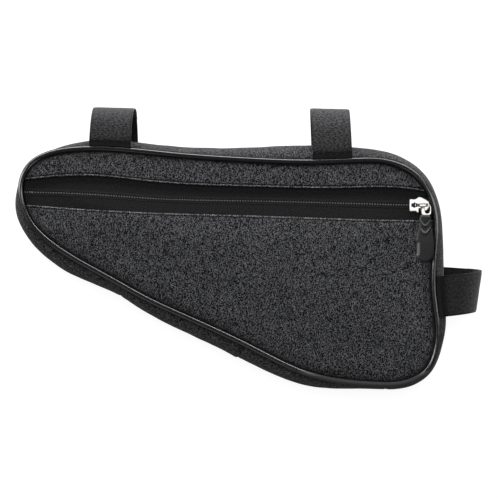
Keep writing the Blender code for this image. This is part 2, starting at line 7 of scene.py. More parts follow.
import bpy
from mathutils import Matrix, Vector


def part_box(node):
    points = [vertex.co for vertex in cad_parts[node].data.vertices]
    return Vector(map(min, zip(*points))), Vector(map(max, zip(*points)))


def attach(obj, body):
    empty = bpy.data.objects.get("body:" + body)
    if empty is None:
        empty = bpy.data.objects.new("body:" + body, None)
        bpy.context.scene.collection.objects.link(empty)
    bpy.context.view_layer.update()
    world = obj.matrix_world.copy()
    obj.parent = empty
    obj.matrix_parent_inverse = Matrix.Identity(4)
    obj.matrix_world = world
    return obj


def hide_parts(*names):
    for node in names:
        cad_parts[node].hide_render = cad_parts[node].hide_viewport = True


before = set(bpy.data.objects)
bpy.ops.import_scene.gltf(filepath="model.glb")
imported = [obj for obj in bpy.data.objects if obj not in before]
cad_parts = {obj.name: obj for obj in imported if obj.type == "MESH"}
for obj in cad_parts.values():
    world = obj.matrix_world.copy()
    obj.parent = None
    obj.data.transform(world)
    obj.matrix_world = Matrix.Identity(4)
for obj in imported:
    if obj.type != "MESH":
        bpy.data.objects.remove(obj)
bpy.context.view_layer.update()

import logging
import math
from collections.abc import Callable
from collections.abc import Mapping
from collections.abc import Sequence
from dataclasses import dataclass
from dataclasses import field
from enum import Enum
from functools import partial

import bmesh
import bpy
import numpy as np
from mathutils import Matrix
from mathutils import Vector
from mathutils.bvhtree import BVHTree
from mathutils.geometry import delaunay_2d_cdt

log = logging.getLogger("frame_bag")

MM = 0.001
CLOTH_UV = "cloth"
# The point attribute that carries painted shade and painted highlight, and the straps' dim woven edges, into
# the cloth colours.
PAINTED_LIGHT_AND_TONE = "shade"
WHITE = (1.0, 1.0, 1.0, 1.0)
WIRE_SIDES = 6
ROUND = 2.0 * math.pi
CLOTH_CREASE = 75.0
METAL_CREASE = 60.0
STITCH_PITCH = 3.2 * MM
THREAD = 0.2 * MM

Array = np.ndarray
Piece = bpy.types.Object
Finish = bpy.types.Material
Line = Callable[[Array], Array]
Pair = tuple[float, float]
Triple = tuple[float, float, float]
Socket = bpy.types.NodeSocket
Inputs = Mapping[str | int, object]


class Body(Enum):
    """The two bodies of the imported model."""

    BAG = "bag"
    PULL = "pull"


class Slot(Enum):
    """The record's material slots."""

    HEATHER = "heather"
    PIPING = "piping"
    TAPE = "zip_tape"
    WEBBING = "webbing"
    NICKEL = "nickel"
    RUBBER = "rubber"


class Lit(Enum):
    """What a light falls on: every piece except the metal, or the pieces of one finish."""

    ALL = "all"
    METAL = "nickel_plated_zinc"
    VINYL = "extruded_vinyl_piping"
    RUBBER = "moulded_rubber"


class Edge(Enum):
    """Which side of the zip band a front panel lies on."""

    ABOVE = "upper"
    BELOW = "lower"


# Small sums that several pieces share


def linear(code: str) -> tuple[float, float, float, float]:
    """Turns an sRGB hex colour to linear.

    Args:
        code: Six hex digits.

    Returns:
        Red, green, blue and an alpha of one.
    """
    channels = [int(code[i : i + 2], 16) / 255.0 for i in (0, 2, 4)]
    values = [c / 12.92 if c <= 0.04045 else ((c + 0.055) / 1.055) ** 2.4 for c in channels]
    return values[0], values[1], values[2], 1.0


def smooth(share: Array | float) -> Array:
    """An even step from 0 to 1.

    Args:
        share: How far along the step.

    Returns:
        The step's height there.
    """
    share = np.clip(share, 0.0, 1.0)
    return share * share * (3.0 - 2.0 * share)


def hump(distance: Array, width: float) -> Array:
    """A round hump of height 1 that has fallen to about a third at its width.

    Args:
        distance: How far from the hump's middle.
        width: Half the hump's width.

    Returns:
        The hump's height there.
    """
    return np.exp(-((np.asarray(distance) / width) ** 2))


def round_off(share: Array) -> Array:
    """How far a rounded edge drops, from 1 at its rim to 0.

    Args:
        share: Distance from the rim, as a share of the rounding's width.

    Returns:
        The drop there.
    """
    return 1.0 - np.sqrt(1.0 - (1.0 - np.clip(share, 0.0, 1.0)) ** 2)


def turns_of(count: int) -> Array:
    """Even angles once round a section, half a step off its axes.

    Args:
        count: How many.

    Returns:
        The angles.
    """
    return ROUND * (np.arange(count) + 0.5) / count


def squared(turns: Array | float, power: float) -> tuple[Array, Array]:
    """Points of a squared circle.

    Args:
        turns: Their angles.
        power: 1 for a round one, less for a squarer one.

    Returns:
        Their places across and up, from -1 to 1.
    """
    cosine, sine = np.cos(turns), np.sin(turns)
    return np.sign(cosine) * np.abs(cosine) ** power, np.sign(sine) * np.abs(sine) ** power


def walk(steps: Array) -> Array:
    """Lengths walked, from zero.

    Args:
        steps: The length of each step.

    Returns:
        One length more than the steps.
    """
    return np.concatenate([[0.0], np.cumsum(steps)])


def lengths(rows: Array) -> Array:
    """Each row's length.

    Args:
        rows: Directions or differences.

    Returns:
        The lengths.
    """
    return np.linalg.norm(rows, axis=1)


def unit(rows: Array) -> Array:
    """Each row at length one.

    Args:
        rows: Directions.

    Returns:
        The same directions.
    """
    return rows / lengths(rows)[:, None]


def even_grid(outline: Array, step: float) -> Array:
    """Even points over the whole box of an outline.

    Args:
        outline: The outline's points.
        step: Length from one point to the next.

    Returns:
        The points.
    """
    low, high = outline.min(axis=0), outline.max(axis=0)
    spans = [np.arange(low[k], high[k], step) for k in (0, 1)]
    return np.stack(np.meshgrid(*spans), -1).reshape(-1, 2)


def fill(outline: Array, inner: Array) -> tuple[Array, list[tuple[int, ...]]]:
    """Triangles over an outline and the points inside it.

    Args:
        outline: The outline's points, once round.
        inner: Points inside it.

    Returns:
        All the points and the triangles.
    """
    edges = [(i, (i + 1) % len(outline)) for i in range(len(outline))]
    both = [Vector(point) for point in np.vstack([outline, inner])]
    flat, _, triangles, *_ = delaunay_2d_cdt(both, edges, [], 1, 1e-7)
    return np.array(flat), [tuple(triangle) for triangle in triangles]


def spline(knots: Sequence[float], values: Sequence, at: Array, closed: bool = False) -> Array:
    """The cubic through rows of values, natural at its ends or closed into a loop.

    Args:
        knots: Places of the rows, with one more than the rows if closed.
        values: The rows.
        at: Places to work out.
        closed: Whether the last row runs back into the first.

    Returns:
        One row for each place.
    """
    knots, values, at = (np.asarray(item, float) for item in (knots, values, at))
    steps = np.diff(knots)
    count = len(values)
    ends = np.vstack([values, values[:1]]) if closed else values
    slopes = np.diff(ends, axis=0) / steps[:, None]
    matrix = np.eye(count)
    right = np.zeros_like(values)
    for i in range(count) if closed else range(1, count - 1):
        matrix[i] = 0.0
        matrix[i, i] = 2.0 * (steps[i - 1] + steps[i])
        matrix[i, i - 1] += steps[i - 1]
        matrix[i, (i + 1) % count] += steps[i]
        right[i] = 6.0 * (slopes[i] - slopes[i - 1])
    bends = np.linalg.solve(matrix, right)
    bends = np.vstack([bends, bends[:1]]) if closed else bends
    piece = np.clip(np.searchsorted(knots, at, side="right") - 1, 0, len(steps) - 1)
    step = steps[piece][:, None]
    late = (at - knots[piece])[:, None]
    early = step - late
    return (
        (bends[piece] * early**3 + bends[piece + 1] * late**3) / (6.0 * step)
        + (ends[piece] / step - bends[piece] * step / 6.0) * early
        + (ends[piece + 1] / step - bends[piece + 1] * step / 6.0) * late
    )


def column(rows: Sequence[Sequence[float]], index: int, at: Array) -> Array:
    """One column of a table, smoothed over the table's first column.

    Args:
        rows: The table, whose first column rises.
        index: Which column to read.
        at: Places along the first column.

    Returns:
        The column's value at each place.
    """
    table = np.array(rows, float)
    places = np.clip(np.atleast_1d(np.asarray(at, float)), table[0, 0], table[-1, 0])
    return spline(table[:, 0], table[:, index : index + 1], places)[:, 0]


def distance_to(curve: Array, points: Array) -> Array:
    """How far each point is from the nearest of a curve's points.

    Args:
        curve: Points in the plane.
        points: Points in the plane.

    Returns:
        One length for each point.
    """
    points = np.atleast_2d(points)
    found = []
    for part in np.array_split(points, 8):
        squares = ((part[:, None, :] - curve[None]) ** 2).sum(axis=2)
        found.append(np.sqrt(squares.min(axis=1)))
    return np.concatenate(found)


def ripple(points: Array, spacing: float, seed: int) -> Array:
    """Soft unevenness between -1 and 1, the same every time.

    Args:
        points: Points in the plane or in space.
        spacing: Length from one swell to the next.
        seed: Which pattern.

    Returns:
        One value for each point.
    """
    source = np.random.default_rng(seed)
    total = np.zeros(len(points))
    for _ in range(6):
        direction = source.normal(size=points.shape[1])
        direction *= ROUND / spacing / np.linalg.norm(direction) * source.uniform(0.6, 1.5)
        total += np.sin(points @ direction + source.uniform(0.0, ROUND))
    return total / 6.0


# Nodes and pieces


def add_node(
    tree: bpy.types.NodeTree,
    kind: str,
    inputs: Inputs | None = None,
    **settings: object,
) -> bpy.types.Node:
    """Adds one node with its settings and links.

    Args:
        tree: The tree that it goes into.
        kind: The node's type.
        inputs: For each input, by name or number, its value or the output that it is linked from.
        **settings: The node's own properties.

    Returns:
        The new node.
    """
    node = tree.nodes.new(kind)
    for name, value in settings.items():
        setattr(node, name, value)
    for key, value in (inputs or {}).items():
        if isinstance(value, Socket):
            tree.links.new(value, node.inputs[key])
        else:
            node.inputs[key].default_value = value
    return node


def make_object(name: str, data: bpy.types.ID) -> Piece:
    """Puts a mesh, a light or a camera in the scene at the origin.

    Args:
        name: The object's name.
        data: Its mesh, light or camera.

    Returns:
        The new object.
    """
    obj = bpy.data.objects.new(name, data)
    bpy.context.scene.collection.objects.link(obj)
    return obj


def settle(obj: Piece) -> Piece:
    """Turns an object's modifiers into its plain mesh.

    Args:
        obj: The object.

    Returns:
        The same object.
    """
    bpy.context.view_layer.update()
    graph = bpy.context.evaluated_depsgraph_get()
    mesh = bpy.data.meshes.new_from_object(
        obj.evaluated_get(graph), preserve_all_data_layers=True, depsgraph=graph
    )
    obj.modifiers.clear()
    obj.data = mesh
    mesh.name = obj.name
    return obj


def place(obj: Piece, slot: Slot, replaces: Sequence[str] = (), body: Body = Body.BAG) -> Piece:
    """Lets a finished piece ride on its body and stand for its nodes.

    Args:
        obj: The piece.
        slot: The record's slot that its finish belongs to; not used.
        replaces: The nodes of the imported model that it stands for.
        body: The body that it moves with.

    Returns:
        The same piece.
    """
    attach(obj, body.value)
    if replaces:
        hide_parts(*replaces)
    log.info("%s: %d faces on %s", obj.name, len(obj.data.polygons), body.value)
    return obj


def carve(obj: Piece, tool: Piece, operation: str) -> None:
    """Cuts one shape out of another, or joins it on, and removes the tool.

    Args:
        obj: The shape that stays.
        tool: The shape that is used up.
        operation: DIFFERENCE or UNION.
    """
    step = obj.modifiers.new(tool.name, "BOOLEAN")
    step.operation = operation
    step.object = tool
    step.solver = "EXACT"
    step.material_mode = "TRANSFER"
    settle(obj)
    bpy.data.objects.remove(tool)


@dataclass
class Skin:
    """Points and faces of one closed surface, with a cloth map in metres and a shade for each point: painted
    shade and painted highlight, with the straps' dim woven edges.
    """

    points: Array
    faces: list[tuple[int, ...]]
    cloth: list[tuple[float, float]]
    shade: Array | None = None

    def build(self, name: str, material: Finish, sharp: float = 50.0) -> Piece:
        """Makes the object.

        Args:
            name: The piece's name.
            material: Its finish.
            sharp: Edges that turn by more than this many degrees stay sharp.

        Returns:
            The new object.
        """
        mesh = bpy.data.meshes.new(name)
        mesh.from_pydata(self.points.tolist(), [], self.faces)
        layer = mesh.uv_layers.new(name=CLOTH_UV)
        layer.data.foreach_set("uv", np.array(self.cloth, np.float32).ravel())
        if self.shade is not None:
            shade = mesh.attributes.new(PAINTED_LIGHT_AND_TONE, "FLOAT", "POINT")
            shade.data.foreach_set("value", self.shade.astype(np.float32))
        work = bmesh.new()
        work.from_mesh(mesh)
        bmesh.ops.recalc_face_normals(work, faces=work.faces)
        work.to_mesh(mesh)
        work.free()
        mesh.materials.append(material)
        mesh.shade_smooth()
        mesh.set_sharp_from_angle(angle=math.radians(sharp))
        return make_object(name, mesh)


def loft(rings: Array, along: Array, around: Array, closed: bool, shade: Array | None = None) -> Skin:
    """The surface through equal closed rings of points.

    An open surface is capped with strips that join each ring's first half to its second half.

    Args:
        rings: Points, ring by ring.
        along: The cloth map's length at each ring, with one more if closed.
        around: The cloth map's length at each point of a ring, with one more.
        closed: Whether the last ring runs back into the first.
        shade: A shade for each point, ring by ring.

    Returns:
        The surface.
    """
    total, count, _ = rings.shape
    faces: list[tuple[int, ...]] = []
    cloth: list[tuple[float, float]] = []
    for i in range(total if closed else total - 1):
        low, high = i * count, ((i + 1) % total) * count
        for j in range(count):
            after = (j + 1) % count
            faces.append((low + j, low + after, high + after, high + j))
            cloth += [
                (along[i], around[j]),
                (along[i], around[j + 1]),
                (along[i + 1], around[j + 1]),
                (along[i + 1], around[j]),
            ]
    for ring in () if closed else (0, total - 1):
        first, last = ring * count, ring * count + count - 1
        for j in range(count // 2 - 1):
            faces.append((first + j, first + j + 1, last - j - 1, last - j))
            near, far = (along[ring], around[j]), (along[ring], around[j + 1])
            cloth += [near, far, far, near]
    return Skin(rings.reshape(-1, 3), faces, cloth, None if shade is None else shade.ravel())


def tube(rings: Sequence, closed: bool = False) -> Skin:
    """The surface through equal rings, with a plain map.

    Args:
        rings: Points, ring by ring.
        closed: Whether the last ring runs back into the first.

    Returns:
        The surface.
    """
    points = np.array(rings)
    return loft(points, np.arange(len(points) + 1.0), np.arange(points.shape[1] + 1.0), closed)


def prism(shape: Sequence[tuple[float, float]] | Array, low: float, high: float) -> Skin:
    """An upright prism.

    Args:
        shape: Its outline in the plane.
        low: Its foot.
        high: Its top.

    Returns:
        The surface.
    """
    return tube([[(x, y, z) for x, y in shape] for z in (low, high)])


def sheet(outline: Array, inner: Array, top: Line, bottom: Line, shade: Line | None = None) -> Skin:
    """A closed flat sheet over an outline.

    Args:
        outline: The outline's points, once round.
        inner: Points inside it.
        top: The upper face's height at each point.
        bottom: The lower face's height at each point.
        shade: The shade at each point.

    Returns:
        The surface, mapped by its own X and Y.
    """
    flat, triangles = fill(outline, inner)
    total = len(flat)
    above = np.column_stack([flat, top(flat)])
    below = np.column_stack([flat, bottom(flat)])
    faces = triangles + [tuple(i + total for i in reversed(t)) for t in triangles]
    edges = dict.fromkeys((a, b) for t in triangles for a, b in zip(t, (*t[1:], t[0]), strict=True))
    faces += [(b, a, a + total, b + total) for a, b in edges if (b, a) not in edges]
    both = np.vstack([flat, flat])
    cloth = [tuple(both[i]) for face in faces for i in face]
    tone = None if shade is None else np.concatenate([shade(flat), np.zeros(total)])
    return Skin(np.vstack([above, below]), faces, cloth, tone)


# Nodes that the finishes and the path trees share


class Nodes:
    """A node tree in the making."""

    def __init__(self, tree: bpy.types.NodeTree) -> None:
        """Takes the tree.

        Args:
            tree: The tree that the nodes go into.
        """
        self.tree = tree

    def add(self, kind: str, output: str | int, inputs: Inputs | None = None, **settings: object) -> Socket:
        """Adds a node.

        Args:
            kind: The node's type.
            output: Which of its outputs is wanted.
            inputs: Values and links of its inputs.
            **settings: The node's own properties.

        Returns:
            The output.
        """
        return add_node(self.tree, kind, inputs, **settings).outputs[output]

    def times(self, value: Socket, factor: float, more: Socket | float = 0.0) -> Socket:
        """Multiplies a value and adds to it.

        Args:
            value: The value.
            factor: What it is multiplied by.
            more: What is added.

        Returns:
            The sum.
        """
        return self.add("ShaderNodeMath", 0, {0: value, 1: factor, 2: more}, operation="MULTIPLY_ADD")

    def span(self, value: Socket, start: float, end: float, low: float, high: float) -> Socket:
        """Maps one span of values to another and stops at its ends.

        Args:
            value: The value.
            start: Where the first span starts.
            end: Where it ends.
            low: The result at the start.
            high: The result at the end.

        Returns:
            The result.
        """
        ends = {"From Min": start, "From Max": end, "To Min": low, "To Max": high}
        return self.add("ShaderNodeMapRange", "Result", {"Value": value, **ends})


class Recipe(Nodes):
    """A material in the making, with the steps that several finishes share."""

    def __init__(self, name: str, fixed: Mapping[str, object], colour: str | None = None) -> None:
        """Starts a material.

        Args:
            name: The material's name.
            fixed: The shader's inputs that are the same all over.
            colour: Its colour, where that is the same all over.
        """
        self.material = bpy.data.materials.new(name)
        self.material.use_nodes = True
        super().__init__(self.material.node_tree)
        self.shader = self.tree.nodes["Principled BSDF"]
        if colour is not None:
            fixed = {**fixed, "Base Color": linear(colour)}
        for key, value in fixed.items():
            self.shader.inputs[key].default_value = value

    def link(self, key: str, source: Socket) -> None:
        """Links one of the shader's inputs.

        Args:
            key: The input's name.
            source: What it is linked from.
        """
        self.tree.links.new(source, self.shader.inputs[key])

    def bump(self, height: Socket, strength: float, distance: float) -> None:
        """Gives the surface a relief.

        Args:
            height: The relief's height, from 0 to 1.
            strength: How much of it shows.
            distance: Its height in metres.
        """
        inputs = {"Height": height, "Strength": strength, "Distance": distance}
        self.link("Normal", self.add("ShaderNodeBump", "Normal", inputs))

    def cloth(self) -> Socket:
        """The cloth map."""
        return self.add("ShaderNodeUVMap", "UV", uv_map=CLOTH_UV)

    def stretch(self, cloth: Socket, x: float, y: float) -> Socket:
        """The cloth map counted in yarns.

        Args:
            cloth: The map.
            x: Yarns to a metre along it.
            y: Yarns to a metre across it.

        Returns:
            The stretched map.
        """
        return self.add("ShaderNodeVectorMath", 0, {0: cloth, 1: (x, y, 0.0)}, operation="MULTIPLY")

    def slant(self, degrees: float, x: float, y: float) -> Socket:
        """The cloth map turned and counted in ribs or loops.

        Args:
            degrees: How far it is turned.
            x: Steps to a metre along it.
            y: Steps to a metre across it.

        Returns:
            The turned map.
        """
        inputs = {"Vector": self.cloth(), "Rotation": (0.0, 0.0, math.radians(degrees)), "Scale": (x, y, 1.0)}
        return self.add("ShaderNodeMapping", "Vector", inputs)

    def noise(self, where: Socket, scale: float, detail: float, flat: bool = True, **more: float) -> Socket:
        """Soft noise.

        Args:
            where: The map that it lies in.
            scale: Its swells to one step of the map.
            detail: How many finer layers it has.
            flat: Whether the map is flat.
            **more: Other inputs.

        Returns:
            Its value, from 0 to 1.
        """
        inputs = {"Vector": where, "Scale": scale, "Detail": detail, **more}
        return self.add("ShaderNodeTexNoise", "Fac", inputs, noise_dimensions="2D" if flat else "3D")

    def grain(self, spacing: float, detail: float, roughness: Pair) -> tuple[Socket, Socket, Socket]:
        """Grain in object coordinates.

        Args:
            spacing: Length from one grain to the next.
            detail: How many finer layers it has.
            roughness: The least and the most roughness.

        Returns:
            The coordinates, the grain's height and its roughness.
        """
        where = self.add("ShaderNodeTexCoord", "Object")
        height = self.noise(where, 1.0 / spacing, detail, flat=False)
        return where, height, self.span(height, 0.3, 0.7, *roughness)

    def painted_light(self, factor: Socket, stops: Sequence[tuple[float, str]]) -> None:
        """Colours the surface from dark to light yarns, and scales the colour by the piece's painted shade
        and painted highlight, which also hold the straps' dim woven edges.

        Args:
            factor: Where each point lies between the stops.
            stops: Places and colours.
        """
        ramp = add_node(self.tree, "ShaderNodeValToRGB", {"Fac": factor})
        elements = ramp.color_ramp.elements
        for element, (position, code) in zip(elements, (stops[0], stops[-1]), strict=True):
            element.position = position
            element.color = linear(code)
        for position, code in stops[1:-1]:
            elements.new(position).color = linear(code)
        # Painted shade and painted highlight: the shade attribute scales the yarn colour.
        gain = self.times(self.add("ShaderNodeAttribute", "Fac", attribute_name=PAINTED_LIGHT_AND_TONE), 1.0, 1.0)
        inputs = {0: ramp.outputs["Color"], "Scale": gain}
        self.link("Base Color", self.add("ShaderNodeVectorMath", 0, inputs, operation="SCALE"))


# Finishes


@dataclass(frozen=True)
class HeatherCloth:
    """Two-tone 600D polyester, woven from black and grey yarns and coated on its back.

    It looks matt and salt-and-pepper, with upright streaks where a grey yarn runs longer, and a faint sheen
    where it turns away. The real yarns are about 0.5 mm apart and are drawn 0.52 mm apart.
    """

    dark: str = "040405"
    middle: str = "171718"
    light: str = "666669"
    yarn: float = 0.52 * MM
    streak: float = 5.0 * MM

    def build(self) -> Finish:
        """Makes the material, which reads the cloth map and the shade.

        Returns:
            The material.
        """
        fixed = {"Roughness": 0.9, "Specular IOR Level": 0.15, "Sheen Weight": 0.12, "Sheen Roughness": 0.45}
        made = Recipe("heathered_polyester", fixed)
        cloth = made.cloth()
        cells = made.stretch(cloth, 1.0 / self.yarn, 0.8 / self.yarn)
        whole = made.add("ShaderNodeVectorMath", 0, {0: cells}, operation="FLOOR")
        pick = made.add("ShaderNodeTexWhiteNoise", "Value", {"Vector": whole}, noise_dimensions="2D")
        streaks = made.noise(made.stretch(cloth, 1.0 / self.yarn, 1.0 / self.streak), 1.0, 1.0)
        tone = made.times(streaks, 0.50, made.times(pick, 0.65, -0.05))
        made.painted_light(tone, ((0.34, self.dark), (0.54, self.middle), (0.80, self.light)))
        made.bump(made.noise(cells, 2.0, 1.0), 0.55, 0.25 * MM)
        return made.material


@dataclass(frozen=True)
class ZipTwill:
    """Woven polyester zip tape, dyed black.

    It looks nearly black with fine slanting ribs. The real ribs are 0.7 mm apart and are drawn 1.5 mm apart,
    so that they show as a faint slant.
    """

    dark: str = "020202"
    light: str = "242425"
    rib: float = 1.5 * MM
    slant: float = 52.0

    def build(self) -> Finish:
        """Makes the material, which reads the cloth map.

        Returns:
            The material.
        """
        made = Recipe("twill_zip_tape", {"Roughness": 0.8, "Specular IOR Level": 0.25})
        turned = made.slant(self.slant, 1.0 / self.rib, 1.0 / self.rib)
        waves = {"Vector": turned, "Scale": 0.32, "Distortion": 1.2, "Detail": 1.0, "Detail Scale": 2.0}
        ribs = made.add("ShaderNodeTexWave", "Fac", waves, wave_type="BANDS")
        tone = made.times(made.noise(made.cloth(), 1100.0, 1.0), 2.6, made.times(ribs, 0.3, -0.95))
        colour = add_node(made.tree, "ShaderNodeMix", {"Factor": tone}, data_type="RGBA")
        for key, value in (("A", self.dark), ("B", self.light)):
            socket = next(s for s in colour.inputs if s.name == key and s.type == "RGBA")
            socket.default_value = linear(value)
        made.link("Base Color", next(s for s in colour.outputs if s.type == "RGBA"))
        made.bump(tone, 0.5, 0.2 * MM)
        return made.material


@dataclass(frozen=True)
class VinylPiping:
    """Extruded soft PVC cord, dyed black, with the skin that the die leaves.

    It looks wet and black, with one sharp bright line where it faces the light and a slight orange peel in
    it. Along the lowest run, on which the bag is set down, it is scuffed dull and the bright line goes out.
    """

    colour: str = "080809"
    peel: float = 3.0 * MM
    scuffed: Pair = (-94.0 * MM, -101.0 * MM)
    scuff: float = 0.8

    def build(self) -> Finish:
        """Makes the material, which reads object coordinates.

        Returns:
            The material.
        """
        made = Recipe("extruded_vinyl_piping", {"IOR": 1.53}, self.colour)
        where, peel, rough = made.grain(self.peel, 2.0, (0.16, 0.26))
        up = made.add("ShaderNodeSeparateXYZ", "Y", {"Vector": where})
        made.link("Roughness", made.times(rough, 1.0, made.span(up, *self.scuffed, 0.0, self.scuff)))
        made.bump(peel, 0.2, 0.3 * MM)
        return made.material


@dataclass(frozen=True)
class LoopPile:
    """Knitted nylon loop tape, the soft half of a hook-and-loop fastener, napped and dyed black.

    It looks like dark grey felt with a slanting nap. The real loops are 0.4 mm apart, drawn 1 mm apart.
    """

    dark: str = "030303"
    light: str = "48484a"
    loop: float = 1.0 * MM
    slant: float = 35.0

    def build(self) -> Finish:
        """Makes the material, which reads the cloth map and the shade.

        Returns:
            The material.
        """
        fixed = {"Roughness": 0.95, "Specular IOR Level": 0.2, "Sheen Weight": 0.2, "Sheen Roughness": 0.5}
        made = Recipe("napped_loop_tape", fixed)
        nap = made.noise(made.slant(self.slant, 1.0 / self.loop, 0.5 / self.loop), 0.9, 3.0, Roughness=0.7)
        made.painted_light(nap, ((0.36, self.dark), (0.64, self.light)))
        made.bump(nap, 0.8, 0.4 * MM)
        return made.material


@dataclass(frozen=True)
class NickelPlate:
    """Die-cast zinc with bright nickel plating, tumbled smooth.

    It looks like a soft mirror with a slightly warm tone and faint tumbling marks.
    """

    title: str = "nickel_plated_zinc"
    colour: str = "e6e4e0"
    mark: float = 0.8 * MM

    def build(self) -> Finish:
        """Makes the material, which reads object coordinates.

        Returns:
            The material.
        """
        made = Recipe(self.title, {"Metallic": 1.0}, self.colour)
        _, marks, rough = made.grain(self.mark, 3.0, (0.14, 0.26))
        made.link("Roughness", rough)
        made.bump(marks, 0.1, 0.1 * MM)
        return made.material


@dataclass(frozen=True)
class MouldedRubber:
    """Soft PVC rubber, injection moulded, with a fine spark-eroded grain.

    It looks dark grey and satin, with wide dull highlights on its ribs.
    """

    colour: str = "101011"
    spark: float = 0.6 * MM

    def build(self) -> Finish:
        """Makes the material, which reads object coordinates.

        Returns:
            The material.
        """
        made = Recipe("moulded_rubber", {"IOR": 1.52}, self.colour)
        _, grain, rough = made.grain(self.spark, 2.0, (0.34, 0.44))
        made.link("Roughness", rough)
        made.bump(grain, 0.15, 0.1 * MM)
        return made.material


@dataclass(frozen=True)
class SpunThread:
    """Twisted polyester or nylon filament, black, as sewing thread or as the zip's coil.

    It looks smooth and slightly bright along its crown, with a fine twist.
    """

    title: str = "spun_thread"
    colour: str = "161617"
    roughness: float = 0.5
    twist: float = 0.7 * MM

    def build(self) -> Finish:
        """Makes the material, which reads object coordinates.

        Returns:
            The material.
        """
        made = Recipe(self.title, {"Roughness": self.roughness}, self.colour)
        where = made.add("ShaderNodeTexCoord", "Object")
        waves = {"Vector": where, "Scale": 0.3 / self.twist, "Distortion": 2.0}
        made.bump(made.add("ShaderNodeTexWave", "Fac", waves, bands_direction="DIAGONAL"), 0.3, 0.1 * MM)
        return made.material


@dataclass(frozen=True)
class OpalTable:
    """Cast opal acrylic, sanded matt, lit from below to plain white and lighting nothing else.

    It looks white, and shadows on it stay faint.
    """

    colour: str = "8c8c8c"
    glow: float = 0.9

    def build(self) -> Finish:
        """Makes the material.

        Returns:
            The material.
        """
        fixed = {"Roughness": 1.0, "Specular IOR Level": 0.0, "Emission Color": WHITE}
        made = Recipe("opal_acrylic", fixed, self.colour)
        seen = made.add("ShaderNodeLightPath", "Is Camera Ray")
        made.link("Emission Strength", made.times(seen, self.glow))
        return made.material


class Finishes:
    """Every finish on the bag, made once."""

    def __init__(self) -> None:
        """Makes them all."""
        self.heather = HeatherCloth().build()
        self.twill = ZipTwill().build()
        self.vinyl = VinylPiping().build()
        self.pile = LoopPile().build()
        self.nickel = NickelPlate().build()
        # A dark copy of the plating, painted shadow on the walls inside the slider's window and notch.
        self.shadow = NickelPlate("zinc_painted_shadow", "2a2927").build()
        self.rubber = MouldedRubber().build()
        self.thread = SpunThread().build()
        # The black coil is drawn light grey: a painted glint on the heads that show in the slit.
        self.coil = SpunThread("nylon_coil_painted_glint", "858589", 0.3, 0.9 * MM).build()
        self.table = OpalTable().build()


# Geometry Nodes along a path


